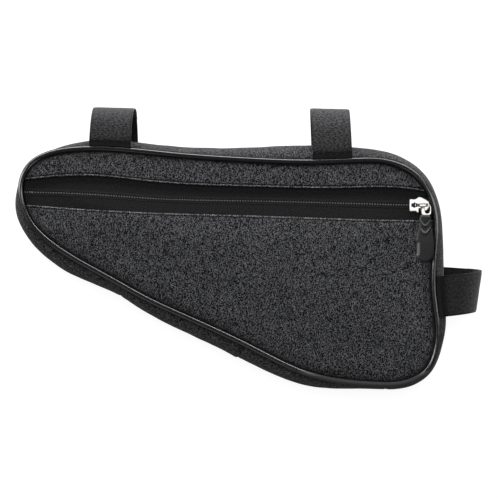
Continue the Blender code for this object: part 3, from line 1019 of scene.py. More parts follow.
class PathTree(Nodes):
    """A Geometry Nodes tree that makes one piece along one or more paths."""

    def __init__(self, name: str) -> None:
        """Starts an empty tree.

        Args:
            name: The tree's name.
        """
        super().__init__(bpy.data.node_groups.new(name, "GeometryNodeTree"))
        for title, way in (("Path", "INPUT"), ("Piece", "OUTPUT")):
            self.tree.interface.new_socket(title, in_out=way, socket_type="NodeSocketGeometry")
        self.start = add_node(self.tree, "NodeGroupInput")
        self.values: dict[str, float] = {}

    def size(self, name: str, value: float) -> Socket:
        """Adds a named size to the tree's inputs.

        Args:
            name: The size's name.
            value: Its value in metres, or a plain number.

        Returns:
            The socket to link from.
        """
        socket = self.tree.interface.new_socket(name, in_out="INPUT", socket_type="NodeSocketFloat")
        self.values[socket.identifier] = value
        return self.start.outputs[name]

    def curve(self) -> Socket:
        """The path as a curve."""
        return self.add("GeometryNodeMeshToCurve", "Curve", {"Mesh": self.start.outputs["Path"]})

    def arc(self, steps: int, *ends: Inputs) -> Socket:
        """A bent line.

        Args:
            steps: How many pieces it has.
            *ends: The parts of its start, its middle and its end.

        Returns:
            The line.
        """
        points = [self.add("ShaderNodeCombineXYZ", 0, end) for end in ends]
        inputs = dict(zip(("Start", "Middle", "End"), points, strict=True))
        return self.add("GeometryNodeCurveQuadraticBezier", "Curve", {"Resolution": steps, **inputs})

    def round_bar(self, curve: Socket, radius: Socket, sides: int) -> Socket:
        """A round bar along a curve.

        Args:
            curve: The curve.
            radius: The bar's radius.
            sides: How many sides its section has.

        Returns:
            The bar's mesh.
        """
        section = {"Resolution": sides, "Radius": radius}
        circle = self.add("GeometryNodeCurvePrimitiveCircle", "Curve", section)
        inputs = {"Curve": curve, "Profile Curve": circle, "Fill Caps": True}
        return self.add("GeometryNodeCurveToMesh", "Mesh", inputs)

    def repeat(self, pitch: float, instance: Socket) -> Socket:
        """Puts an instance at even steps along the path, turned along it and standing off the cloth.

        Args:
            pitch: The step's length.
            instance: What is repeated.

        Returns:
            The instances.
        """
        steps = {"Curve": self.curve(), "Length": self.size("Pitch", pitch)}
        even = self.add("GeometryNodeResampleCurve", "Curve", steps, mode="LENGTH")
        named = {"Name": "up"}
        up = self.add("GeometryNodeInputNamedAttribute", "Attribute", named, data_type="FLOAT_VECTOR")
        tangent = self.add("GeometryNodeInputTangent", "Tangent")
        turned: Inputs = {"Vector": up}
        for settings in ({"axis": "Z"}, {"axis": "X", "pivot_axis": "Z"}):
            rotation = self.add("FunctionNodeAlignRotationToVector", "Rotation", turned, **settings)
            turned = {"Rotation": rotation, "Vector": tangent}
        inputs = {"Points": even, "Instance": instance, "Rotation": rotation}
        return self.add("GeometryNodeInstanceOnPoints", "Instances", inputs)

    def finish(self, geometry: Socket, material: Finish) -> None:
        """Ends the tree with real, smooth faces of one finish.

        Args:
            geometry: What the piece is made of.
            material: Its finish.
        """
        real = self.add("GeometryNodeRealizeInstances", "Geometry", {"Geometry": geometry})
        soft = self.add("GeometryNodeSetShadeSmooth", "Geometry", {"Geometry": real})
        done = self.add("GeometryNodeSetMaterial", "Geometry", {"Geometry": soft, "Material": material})
        add_node(self.tree, "NodeGroupOutput", {0: done})

    def run(self, name: str, paths: Sequence[Array], closed: bool = False, up: Array | None = None) -> Piece:
        """Makes the piece.

        Args:
            name: The piece's name.
            paths: The paths' points in space.
            closed: Whether each path runs back to its start.
            up: The direction away from the cloth at each point, or straight up.

        Returns:
            The piece, as a plain mesh.
        """
        edges: list[tuple[int, int]] = []
        first = 0
        for path in paths:
            count = len(path)
            edges += [(first + i, first + (i + 1) % count) for i in range(count if closed else count - 1)]
            first += count
        points = np.vstack(paths)
        mesh = bpy.data.meshes.new(name)
        mesh.from_pydata(points.tolist(), edges, [])
        normals = np.tile((0.0, 0.0, 1.0), (len(points), 1)) if up is None else up
        attribute = mesh.attributes.new("up", "FLOAT_VECTOR", "POINT")
        attribute.data.foreach_set("vector", normals.astype(np.float32).ravel())
        obj = make_object(name, mesh)
        modifier = obj.modifiers.new(name, "NODES")
        modifier.node_group = self.tree
        for identifier, value in self.values.items():
            modifier[identifier] = value
        return settle(obj)


def cord_tree(radius: float, sides: int, material: Finish) -> PathTree:
    """A tree that runs a round cord along its path.

    Args:
        radius: The cord's radius.
        sides: How many sides its section has.
        material: Its finish.

    Returns:
        The tree.
    """
    tree = PathTree("cord_along_path")
    tree.finish(tree.round_bar(tree.curve(), tree.size("Radius", radius), sides), material)
    return tree


def stitch_tree(pitch: float, length: float, radius: float, material: Finish) -> PathTree:
    """A tree that sews a row of stitches along its path.

    Args:
        pitch: Length from one stitch to the next.
        length: Length of one stitch.
        radius: The thread's radius.
        material: The thread's finish.

    Returns:
        The tree.
    """
    tree = PathTree("stitches_along_path")
    half = tree.size("Half length", length / 2.0)
    thread = tree.size("Thread radius", radius)
    dip, rise = tree.times(thread, -1.2), tree.times(thread, 2.0)
    arc = tree.arc(5, {"X": tree.times(half, -1.0), "Z": dip}, {"Z": rise}, {"X": half, "Z": dip})
    tree.finish(tree.repeat(pitch, tree.round_bar(arc, thread, WIRE_SIDES)), material)
    return tree


def tooth_tree(pitch: float, size: float, width: float, wire: float, material: Finish) -> PathTree:
    """A tree that lays a zip's coil along its path: a loop of wire under the tape and a head in the slit.

    Args:
        pitch: Length from one tooth to the next.
        size: Radius of a tooth's head.
        width: The coil's width.
        wire: The wire's radius.
        material: The coil's finish.

    Returns:
        The tree.
    """
    tree = PathTree("coil_along_path")
    radius = tree.size("Head radius", size)
    half = tree.size("Half width", width / 2.0)
    strand = tree.size("Wire radius", wire)
    low, high = tree.times(strand, -5.0), tree.times(strand, -1.0)
    arc = tree.arc(8, {"Y": tree.times(half, -1.0), "Z": low}, {"Z": high}, {"Y": half, "Z": low})
    head = tree.add("GeometryNodeMeshUVSphere", "Mesh", {"Segments": 8, "Rings": 6, "Radius": radius})
    wide = tree.add("GeometryNodeTransform", "Geometry", {"Geometry": head, "Scale": (1.0, 1.15, 0.9)})
    both = add_node(tree.tree, "GeometryNodeJoinGeometry")
    for part in (tree.round_bar(arc, strand, WIRE_SIDES), wide):
        tree.tree.links.new(part, both.inputs["Geometry"])
    tree.finish(tree.repeat(pitch, both.outputs["Geometry"]), material)
    return tree


# The bag's own lines and surfaces

SEAM_ROWS = (
    # place, along, up, bulge: shares of the seam's length and height and of the gusset's bulge
    ("nose", -0.001, 0.808, 0.37),
    ("nose top", 0.021, 0.926, 0.08),
    ("upper start", 0.065, 0.973, 0.10),
    ("rear strap start", 0.130, 0.994, 0.32),
    ("rear strap end", 0.262, 0.989, 0.42),
    ("upper run", 0.368, 0.970, 0.41),
    ("sag start", 0.547, 0.948, 0.66),
    ("sag", 0.692, 0.940, 0.88),
    ("front strap end", 0.791, 0.946, 0.68),
    ("tall end shoulder", 0.862, 0.944, 0.51),
    ("tall end turn", 0.945, 0.879, 0.39),
    ("tall end top", 0.983, 0.759, 0.38),
    ("tall end run", 0.990, 0.606, 0.47),
    ("side strap start", 0.985, 0.472, 0.64),
    ("side strap end", 0.987, 0.370, 0.65),
    ("tall end foot", 0.995, 0.250, 0.55),
    ("heel turn", 0.992, 0.150, 0.38),
    ("heel", 0.969, 0.057, 0.38),
    ("heel end", 0.925, 0.008, 0.40),
    ("lower run", 0.848, -0.003, 0.35),
    ("lower bend", 0.699, 0.034, 0.73),
    ("slope end", 0.546, 0.158, 0.93),
    ("slope", 0.387, 0.289, 0.90),
    ("slope fold start", 0.292, 0.368, 0.77),
    ("slope fold", 0.253, 0.406, 0.69),
    ("slope fold end", 0.215, 0.444, 0.73),
    ("slope start", 0.122, 0.536, 0.97),
    ("nose foot", 0.062, 0.610, 0.89),
    ("nose turn", 0.022, 0.687, 0.74),
    ("nose low", 0.005, 0.754, 0.60),
)


@dataclass
class SeamLine:
    """The front seam, once round from the nose over the edge with two straps."""

    length: float = 381.0 * MM
    height: float = 215.0 * MM
    bulge: float = 16.0 * MM
    step: float = 1.4 * MM
    samples: int = 4000
    points: Array = field(init=False)
    outward: Array = field(init=False)
    swell: Array = field(init=False)
    along: Array = field(init=False)

    def __post_init__(self) -> None:
        """Works out even points of the seam, their outward directions and the gusset's swelling there."""
        rows = np.array([row[1:] for row in SEAM_ROWS], float)
        values = (rows - (0.5, 0.5, 0.0)) * (self.length, self.height, self.bulge)
        knots = self._walked(values[:, :2])
        places = np.linspace(0.0, knots[-1], self.samples + 1)[:-1]
        walked = self._walked(spline(knots, values, places, closed=True)[:, :2])
        count = int(round(walked[-1] / self.step))
        even = np.interp(np.arange(count) / count * walked[-1], walked[:-1], places)
        found = spline(knots, values, even, closed=True)
        self.points = found[:, :2]
        self.swell = np.maximum(found[:, 2], 0.0)
        tangents = unit(np.roll(self.points, -1, axis=0) - np.roll(self.points, 1, axis=0))
        self.outward = np.column_stack([-tangents[:, 1], tangents[:, 0]])
        self.along = self._walked(self.points)

    @staticmethod
    def _walked(points: Array) -> Array:
        """Length walked along closed points, with one more for the way back to the start."""
        return walk(lengths(np.roll(points, -1, axis=0) - points))

    def at(self, share: float) -> tuple[Array, Array]:
        """A point of the seam and its outward direction.

        Args:
            share: Share of the seam's own length, from the nose.

        Returns:
            The point and the direction.
        """
        place_at = (share % 1.0) * self.along[-1]
        found = []
        for values in (self.points, self.outward):
            closed = np.vstack([values, values[:1]])
            found.append(np.array([np.interp(place_at, self.along, closed[:, k]) for k in (0, 1)]))
        return found[0], found[1] / np.linalg.norm(found[1])

    def inside(self, distance: float) -> Array:
        """The seam moved inwards.

        Args:
            distance: How far.

        Returns:
            Its points.
        """
        return self.points - self.outward * distance

    def ring(self, distance: float, every: int = 1) -> Array:
        """The seam moved inwards, without the points that crowd where it turns.

        Args:
            distance: How far.
            every: Which of its points are kept.

        Returns:
            Its points.
        """
        found = self.inside(distance)[::every]
        return found[distance_to(self.points, found) > 0.97 * distance]

    def holds(self, points: Array) -> Array:
        """Whether each point lies inside the seam, by how often a ray from it crosses the seam.

        Args:
            points: Points in the plane.

        Returns:
            Yes or no for each.
        """
        a = self.points
        b = np.roll(a, -1, axis=0)
        x, y = points[:, :1], points[:, 1:]
        spans = (a[None, :, 1] > y) != (b[None, :, 1] > y)
        rise = np.where(b[:, 1] == a[:, 1], 1e-12, b[:, 1] - a[:, 1])
        meets = (b[:, 0] - a[:, 0])[None] * (y - a[None, :, 1]) / rise[None] + a[None, :, 0]
        return (spans & (x < meets)).sum(axis=1) % 2 == 1

    def nearest(self, x: float, y: float) -> float:
        """Length along the seam of its point nearest to a place.

        Args:
            x: The place's X.
            y: The place's Y.

        Returns:
            The length from the nose.
        """
        return float(self.along[:-1][np.argmin(((self.points - (x, y)) ** 2).sum(axis=1))])


ZIP_ROWS = (
    # along, upper fold, teeth, lower fold: shares of the seam's length and height
    (0.000, 0.862, 0.812, 0.759),
    (0.168, 0.881, 0.802, 0.738),
    (0.311, 0.856, 0.785, 0.725),
    (0.549, 0.835, 0.774, 0.713),
    (0.764, 0.829, 0.765, 0.700),
    (0.908, 0.828, 0.758, 0.694),
    (1.000, 0.803, 0.755, 0.693),
)


Crossing = tuple[int, Array]


@dataclass
class Front:
    """The padded front's surface, with the lines that the zip band crosses it by."""

    seam: SeamLine
    depth: float = 52.0 * MM
    wall: float = 2.5 * MM
    rim_width: float = 16.0 * MM
    rim_dip: float = 0.8 * MM
    rim_rise: float = 1.4 * MM
    belly: float = 3.0 * MM
    belly_reach: float = 55.0 * MM
    tape_drop: float = 1.0 * MM

    def rim(self, inside: Array) -> Array:
        """How far the padding has risen from the seam.

        Args:
            inside: Distances from the seam.

        Returns:
            Shares from 0 at the seam to 1.
        """
        return 1.0 - (1.0 - np.clip(inside / self.rim_width, 0.0, 1.0)) ** 3

    def height(self, points: Array) -> Array:
        """Height of the front's outer face.

        Args:
            points: Points in the plane.

        Returns:
            Their heights.
        """
        inside = distance_to(self.seam.points, points)
        belly = smooth((inside - self.rim_width) / self.belly_reach)
        rise = (self.rim_dip + self.rim_rise) * self.rim(inside)
        return self.depth - self.rim_dip + rise + self.belly * belly

    def tape_top(self, points: Array) -> Array:
        """Height of the zip tapes' upper face.

        Args:
            points: Points in the plane.

        Returns:
            Their heights.
        """
        return self.height(points) - self.wall - self.tape_drop

    def line(self, index: int, raised: float = 0.0) -> Line:
        """One of the zip band's lines.

        Args:
            index: Its column in the table: 1 the upper fold, 2 the teeth, 3 the lower fold.
            raised: How far it is moved up.

        Returns:
            The line's Y as a function of X.
        """
        length, height = self.seam.length, self.seam.height
        return lambda x: (column(ZIP_ROWS, index, np.asarray(x) / length + 0.5) - 0.5) * height + raised

    @staticmethod
    def crossings(loop: Array, line: Line) -> tuple[Crossing, Crossing]:
        """Where a loop round the bag meets a line across it.

        Args:
            loop: The loop's points, from the nose over the strap edge.
            line: The line's Y as a function of X.

        Returns:
            The first point above the line with its meeting point, then the same for the first one below it.
        """
        over = loop[:, 1] - line(loop[:, 0])
        found: dict[bool, tuple[int, Array]] = {}
        for i in range(len(loop)):
            before = over[i - 1]
            if (before <= 0.0) != (over[i] <= 0.0):
                part = before / (before - over[i])
                found[bool(over[i] > 0.0)] = (i, loop[i - 1] * (1.0 - part) + loop[i] * part)
        return found[True], found[False]


@dataclass
class ClothSwell:
    """Cloth held all round its edge and pressed out from below, for a padded panel's own swelling."""

    pressure: float = 4.0
    frames: int = 20
    cap: float = 1.3 * MM

    def run(self, name: str, outline: Array, inner: Array, height: Line) -> Line:
        """Simulates one panel.

        Args:
            name: The panel's name.
            outline: The panel's outline.
            inner: Points inside it.
            height: The height at which the cloth starts.

        Returns:
            How far the cloth rises, as a function of points in the plane.
        """
        flat, triangles = fill(outline, inner)
        mesh = bpy.data.meshes.new(name)
        mesh.from_pydata(np.column_stack([flat, height(flat)]).tolist(), [], triangles)
        obj = make_object(name, mesh)
        held = obj.vertex_groups.new(name="held")
        rim = distance_to(outline, flat) < 0.01 * MM
        held.add([int(i) for i in np.flatnonzero(rim)], 1.0, "REPLACE")
        cloth = obj.modifiers.new("cloth", "CLOTH")
        settings = cloth.settings
        settings.quality = 6
        settings.mass = 0.3
        settings.vertex_group_mass = held.name
        settings.use_pressure = True
        settings.uniform_pressure_force = self.pressure
        settings.effector_weights.gravity = 0.0
        settings.shrink_min = -0.004
        cloth.collision_settings.use_collision = False
        cloth.point_cache.frame_start = 1
        cloth.point_cache.frame_end = self.frames
        soften = obj.modifiers.new("soften", "SUBSURF")
        soften.levels = soften.render_levels = 1
        for step in range(1, self.frames + 1):
            bpy.context.scene.frame_set(step)
        settle(obj)
        places = [v.co.copy() for v in obj.data.vertices]
        tree = BVHTree.FromPolygons(places, [tuple(p.vertices) for p in obj.data.polygons])
        log.info("%s swells to %.1f mm", name, max(p.z for p in places) / MM)
        bpy.data.objects.remove(obj)
        bpy.context.scene.frame_set(1)

        def rise(points: Array) -> Array:
            """How far the cloth has risen at each point."""
            start = height(points)
            found = np.array([self._drop(tree, point) for point in points])
            return np.clip(np.where(np.isnan(found), 0.0, found - start), -0.1 * MM, self.cap)

        return rise

    @staticmethod
    def _drop(tree: BVHTree, point: Array) -> float:
        """Height of the cloth under a point in the plane, or not a number beside it."""
        hit = tree.ray_cast(Vector((point[0], point[1], 1.0)), Vector((0.0, 0.0, -1.0)))[0]
        return hit.z if hit is not None else float("nan")


# The sub-assemblies


@dataclass
class FrontPanels:
    """The two padded front panels, each with a folded and topstitched edge along the zip."""

    front: Front
    finishes: Finishes
    edge: float = 2.6 * MM
    tuck: float = 1.5 * MM
    tuck_width: float = 0.8 * MM
    lip: float = 0.75 * MM
    groove_at: float = 1.85 * MM
    groove_depth: float = 0.65 * MM
    groove_width: float = 0.5 * MM
    grid: float = 4.0 * MM
    ring_steps: tuple[float, ...] = (0.35, 0.8, 1.3, 2.0, 3.0, 4.4, 6.2, 8.5, 11.5)
    fold_steps: tuple[float, ...] = (0.12, 0.3, 0.55, 0.85, 1.15, 1.4, 1.6, 1.85, 2.1, 2.3, 2.6, 3.1, 4.2)
    grip_reach: Pair = (30.0 * MM, 0.2 * MM)
    seam_pucker: Triple = (0.12 * MM, 9.0 * MM, 7.0 * MM)
    fold_pucker: Triple = (0.1 * MM, 5.0 * MM, 6.0 * MM)
    # Place and width of the painted highlight along the fold's crest, which also stands for its abraded,
    # paler yarns.
    fold_highlight_and_wear: Pair = (0.75 * MM, 0.65 * MM)

    def build(self) -> list[Piece]:
        """Makes both panels and the stitches in their grooves.

        Returns:
            The pieces.
        """
        made = []
        rows = []
        for edge in Edge:
            above = edge is Edge.ABOVE
            fold = self.front.line(1 if above else 3)
            side = 1.0 if above else -1.0
            outline = self._outline(fold, above)
            swell = self._swell(edge, outline, fold, side)
            inner = self._inner(outline, fold, side)
            skin = sheet(
                outline,
                inner,
                partial(self._top, swell=swell, fold=fold, side=side),
                lambda points: self.front.height(points) - self.front.wall,
                partial(self._painted_light, fold=fold, side=side),
            )
            name = f"front_panel_{edge.value}"
            panel = skin.build(f"{name}_cloth", self.finishes.heather, sharp=CLOTH_CREASE)
            made.append(place(panel, Slot.HEATHER, (name,)))
            rows.append(self._stitch_row(fold, side, swell))
        tree = stitch_tree(STITCH_PITCH, 2.4 * MM, THREAD, self.finishes.thread)
        made.append(place(tree.run("zip_topstitch", rows), Slot.HEATHER))
        return made

    def _outline(self, fold: Line, above: bool) -> Array:
        """The panel's outline: the seam's part on its side of the fold, closed along the fold."""
        loop = self.front.seam.inside(self.edge)
        (first, left), (last, right) = self.front.crossings(loop, fold)
        start, stop = left, right
        if not above:
            first, last, start, stop = last, first, right, left
        count = len(loop)
        kept = [loop[i % count] for i in range(first, last if last > first else last + count)]
        near = 0.5 * self.front.seam.step
        kept = [p for p in kept if min(np.linalg.norm(p - start), np.linalg.norm(p - stop)) > near]
        along = np.linspace(stop[0], start[0], 1 + int(abs(start[0] - stop[0]) / self.front.seam.step))
        return np.vstack([np.array(kept), np.column_stack([along, fold(along)])])

    def _inner(self, outline: Array, fold: Line, side: float) -> Array:
        """Rings inside the seam, rows beside the fold and an even grid between them."""
        seam = self.front.seam
        last_row = self.fold_steps[-1] * MM
        last_ring = self.edge + self.ring_steps[-1] * MM
        found = []
        for step in self.ring_steps:
            ring = seam.ring(self.edge + step * MM, 1 if step < 2.5 else 2)
            found.append(ring[(ring[:, 1] - fold(ring[:, 0])) * side > last_row + 0.6 * MM])
        along = np.arange(-0.5 * seam.length, 0.5 * seam.length, seam.step)
        found += [np.column_stack([along, fold(along) + side * step * MM]) for step in self.fold_steps]
        half = 0.5 * self.grid
        found.append(self._grid(outline, fold, side, last_row + half, last_ring + half))
        points = np.vstack(found)
        points = points[seam.holds(points)]
        return points[distance_to(seam.points, points) > self.edge + 0.25 * MM]

    def _grid(
        self, outline: Array, fold: Line, side: float, from_fold: float, from_seam: float
    ) -> Array:
        """Even points of the panel that keep off its fold and the seam."""
        seam = self.front.seam
        grid = even_grid(outline, self.grid)
        grid = grid[(grid[:, 1] - fold(grid[:, 0])) * side > from_fold]
        grid = grid[distance_to(seam.points, grid) > from_seam]
        return grid[seam.holds(grid)]

    def _swell(self, edge: Edge, outline: Array, fold: Line, side: float) -> Line:
        """The panel's simulated swelling, kept small where the pull lies on it."""
        gap = 0.6 * self.grid
        grid = self._grid(outline, fold, side, gap, self.edge + gap)
        rise = ClothSwell().run(f"swell_{edge.value}", outline[::3], grid, self.front.height)
        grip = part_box("pull_grip")
        middle = np.array([(grip[0].x + grip[1].x) / 2.0, (grip[0].y + grip[1].y) / 2.0])
        reach, most = self.grip_reach

        def capped(points: Array) -> Array:
            """The swelling at each point, which stays under the pull."""
            clear = smooth((lengths(points - middle) - reach) / reach)
            found = rise(points)
            return np.where(found > most, most + (found - most) * clear, found)

        return capped

    def _top(self, points: Array, swell: Line, fold: Line, side: float) -> Array:
        """Height of the panel's outer face, with its tucked rim, folded lip and stitched groove."""
        seam_gap = distance_to(self.front.seam.points, points) - self.edge
        fold_gap = np.maximum((points[:, 1] - fold(points[:, 0])) * side, 0.0)
        tuck = self.tuck * np.exp(-np.maximum(seam_gap, 0.0) / self.tuck_width)
        lip = self.lip * round_off(fold_gap / self.lip)
        groove = self.groove_depth * hump(fold_gap - self.groove_at, self.groove_width)
        height, spacing, reach = self.seam_pucker
        pucker = height * ripple(points, spacing, 3) * hump(seam_gap, reach)
        height, spacing, reach = self.fold_pucker
        pucker = pucker + height * ripple(points, spacing, 4) * hump(fold_gap, reach)
        return self.front.height(points) + swell(points) + pucker - tuck - lip - groove

    def _painted_light(self, points: Array, fold: Line, side: float) -> Array:
        """Painted highlight along the fold's crest, which also stands for its abraded, paler yarns; painted
        shade down in the groove, in the crevice at the seam, and in a wider band inside the seam where the
        padding curves away from the light.
        """
        seam_gap = distance_to(self.front.seam.points, points) - self.edge
        fold_gap = (points[:, 1] - fold(points[:, 0])) * side
        at, width = self.fold_highlight_and_wear
        # Painted highlight on the fold's crest; painted shade in the groove, in the seam's crevice and in a
        # band inside the seam.
        highlight_and_wear = 1.1 * hump(fold_gap - at, width)
        painted_shade = 1.1 * hump(fold_gap - self.groove_at, self.groove_width) + 0.7 * hump(seam_gap, 1.1 * MM)
        painted_shade = painted_shade + 0.4 * hump(seam_gap, 5.5 * MM)
        return highlight_and_wear - np.minimum(painted_shade, 0.95)

    def _stitch_row(self, fold: Line, side: float, swell: Line) -> Array:
        """The path of the stitches in the groove."""
        loop = self.front.seam.inside(self.edge + 2.0 * MM)
        row: Line = lambda x: fold(x) + side * self.groove_at
        (_, left), (_, right) = self.front.crossings(loop, row)
        along = np.arange(left[0], right[0], 1.0 * MM)
        points = np.column_stack([along, row(along)])
        return np.column_stack([points, self._top(points, swell, fold, side) + 0.05 * MM])


@dataclass
class BackPanel:
    """The plain back panel that the bag lies on."""

    front: Front
    finishes: Finishes
    edge: float = 2.6 * MM
    lift: float = 1.3 * MM
    grid: float = 6.0 * MM
    ring_steps: tuple[float, ...] = (0.5, 1.2, 2.2, 3.6, 5.5, 8.0, 11.0, 14.5)
    plain: float = 18.0 * MM
    pucker: Triple = (0.15 * MM, 11.0 * MM, 9.0 * MM)

    def build(self) -> list[Piece]:
        """Makes the panel.

        Returns:
            The piece.
        """
        seam = self.front.seam
        outline = seam.inside(self.edge)
        found = [seam.ring(self.edge + step * MM, 2) for step in self.ring_steps]
        grid = even_grid(outline, self.grid)
        grid = grid[seam.holds(grid)]
        found.append(grid[distance_to(seam.points, grid) > self.edge + self.plain])
        skin = sheet(outline, np.vstack(found), lambda points: self._low(points) + self.front.wall, self._low)
        panel = skin.build("back_panel_cloth", self.finishes.heather, sharp=CLOTH_CREASE)
        return [place(panel, Slot.HEATHER, ("back_panel",))]

    def _low(self, points: Array) -> Array:
        """Height of the panel's outer face, which lifts off the ground towards its seam."""
        inside = distance_to(self.front.seam.points, points)
        height, spacing, reach = self.pucker
        pucker = height * (1.0 + ripple(points, spacing, 5)) * hump(inside, reach)
        return self.lift * (1.0 - self.front.rim(inside)) + pucker


GUSSET_ROWS = (
    # depth, bulge: from the front seam to the back seam, and how much of the bulge it has there
    (0.00, 0.00),
    (0.10, 0.44),
    (0.28, 0.86),
    (0.50, 1.00),
    (0.72, 0.86),
    (0.90, 0.44),
    (1.00, 0.00),
)


@dataclass
class Gusset:
    """The side wall, one band of cloth all the way round, swollen between its seams."""

    front: Front
    finishes: Finishes
    top: float = 49.7 * MM
    bottom: float = 5.1 * MM
    levels: int = 34
    join_at: Pair = (8.1 * MM, -79.8 * MM)
    lap: Pair = (0.9 * MM, 9.0 * MM)
    join_groove: Triple = (0.8 * MM, 0.7 * MM, 0.7 * MM)
    fold_at: Pair = (-95.0 * MM, -21.0 * MM)
    heel_at: Pair = (143.0 * MM, -104.0 * MM)
    join_stitch: Pair = (2.8 * MM, 2.3 * MM)

    def build(self) -> list[Piece]:
        """Makes the wall and the stitches beside its joining seam.

        Returns:
            The pieces.
        """
        seam = self.front.seam
        depths = 0.5 - 0.5 * np.cos(np.pi * np.arange(self.levels + 1) / self.levels)
        depths = 0.5 * depths + 0.5 * np.arange(self.levels + 1) / self.levels
        share = column(GUSSET_ROWS, 1, depths)
        z = self.top + (self.bottom - self.top) * depths
        reach = seam.swell[:, None] * share[None, :]
        slope = np.gradient(reach, z, axis=1)
        slope[:, 0] = slope[:, -1] = 0.0
        length = np.sqrt(1.0 + slope**2)
        out, up = 1.0 / length, -slope / length
        half = self.front.wall / 2.0
        rings = []
        for offset in (half + self._detail(depths), np.full(reach.shape, -half)):
            far = reach + out * offset
            flat = seam.points[:, None, :] + seam.outward[:, None, :] * far[..., None]
            rings.append(np.concatenate([flat, (z[None, :] + up * offset)[..., None]], axis=2))
        ring = np.concatenate([rings[0], rings[1][:, ::-1]], axis=1)
        walked = walk(np.hypot(np.diff(z), np.diff(0.6 * seam.bulge * share)))
        around = np.concatenate([walked, walked[::-1], walked[:1]])
        # Painted shade and painted highlight go on the outer face only.
        shade = np.zeros(ring.shape[:2])
        shade[:, : self.levels + 1] = self._painted_light(depths)
        skin = loft(ring, seam.along, around, closed=True, shade=shade)
        wall = skin.build("gusset_cloth", self.finishes.heather, sharp=CLOTH_CREASE)
        return [place(wall, Slot.HEATHER, ("gusset",)), self._join_stitches(rings[0])]

    def _detail(self, depths: Array) -> Array:
        """How far the outer face stands out or in, for its joining seam, its folds and its unevenness."""
        seam = self.front.seam
        along = seam.along[:-1][:, None]
        across = depths[None, :]
        middle = np.sin(np.pi * across) ** 0.5
        join = seam.nearest(*self.join_at)
        height, reach = self.lap
        lap = height * np.exp(-np.maximum(along - join, 0.0) / reach) * (along >= join)
        depth, before, width = self.join_groove
        detail = (lap - depth * hump(along - join + before, width)) * middle
        for (x, y), slant, depth, width in (
            (self.fold_at, 10.0 * MM, 0.7 * MM, 1.6 * MM),
            (self.heel_at, -8.0 * MM, 0.6 * MM, 1.2 * MM),
        ):
            fold = seam.nearest(x, y) + slant * (across - 0.3)
            detail = detail - depth * hump(along - fold, width) * hump(across - 0.35, 0.3)
        grid = np.stack(np.broadcast_arrays(along, across * (self.top - self.bottom)), -1).reshape(-1, 2)
        uneven = 0.35 * MM * ripple(grid, 38.0 * MM, 7) + 0.12 * MM * ripple(grid, 13.0 * MM, 8)
        return detail + uneven.reshape(detail.shape) * middle

    def _painted_light(self, depths: Array) -> Array:
        """Painted shade in the groove of the joining seam, a painted highlight on the lap's edge just past
        it, and painted shade along the front seam where the wall tucks under the piping.
        """
        past = self.front.seam.along[:-1][:, None] - self.front.seam.nearest(*self.join_at)
        seam = 0.45 * hump(past - 0.5 * MM, 0.5 * MM) - 0.85 * hump(past + 0.7 * MM, 0.9 * MM)
        return seam - 0.85 * hump(depths * (self.top - self.bottom), 2.4 * MM)[None, :]

    def _join_stitches(self, face: Array) -> Piece:
        """One row of stitches beside the joining seam."""
        seam = self.front.seam
        past, length = self.join_stitch
        i = int(np.searchsorted(seam.along, seam.nearest(*self.join_at) + past))
        path = face[i, 3:-3]
        across = np.gradient(path, axis=0)
        along = face[i + 1, 3:-3] - face[i - 1, 3:-3]
        up = unit(np.cross(along, across))
        up *= np.sign(up[:, :2] @ seam.outward[i])[:, None]
        tree = stitch_tree(STITCH_PITCH, length, THREAD, self.finishes.thread)
        return place(tree.run("gusset_join_stitch", [path + up * 0.1 * MM], up=up), Slot.HEATHER)


@dataclass
class Piping:
    """The two piping cords in the seams."""

    front: Front
    finishes: Finishes
    radius: float = 2.4 * MM
    back_radius: float = 2.3 * MM
    back_height: float = 2.6 * MM
    sides: int = 20

    def build(self) -> list[Piece]:
        """Makes both cords.

        Returns:
            The pieces.
        """
        seam = self.front.seam
        made = []
        for name, height, radius in (
            ("front_piping", self.front.depth, self.radius),
            ("back_piping", self.back_height, self.back_radius),
        ):
            tree = cord_tree(radius, self.sides, self.finishes.vinyl)
            path = np.column_stack([seam.points, np.full(len(seam.points), height)])
            made.append(place(tree.run(f"{name}_cord", [path], closed=True), Slot.PIPING, (name,)))
        return made


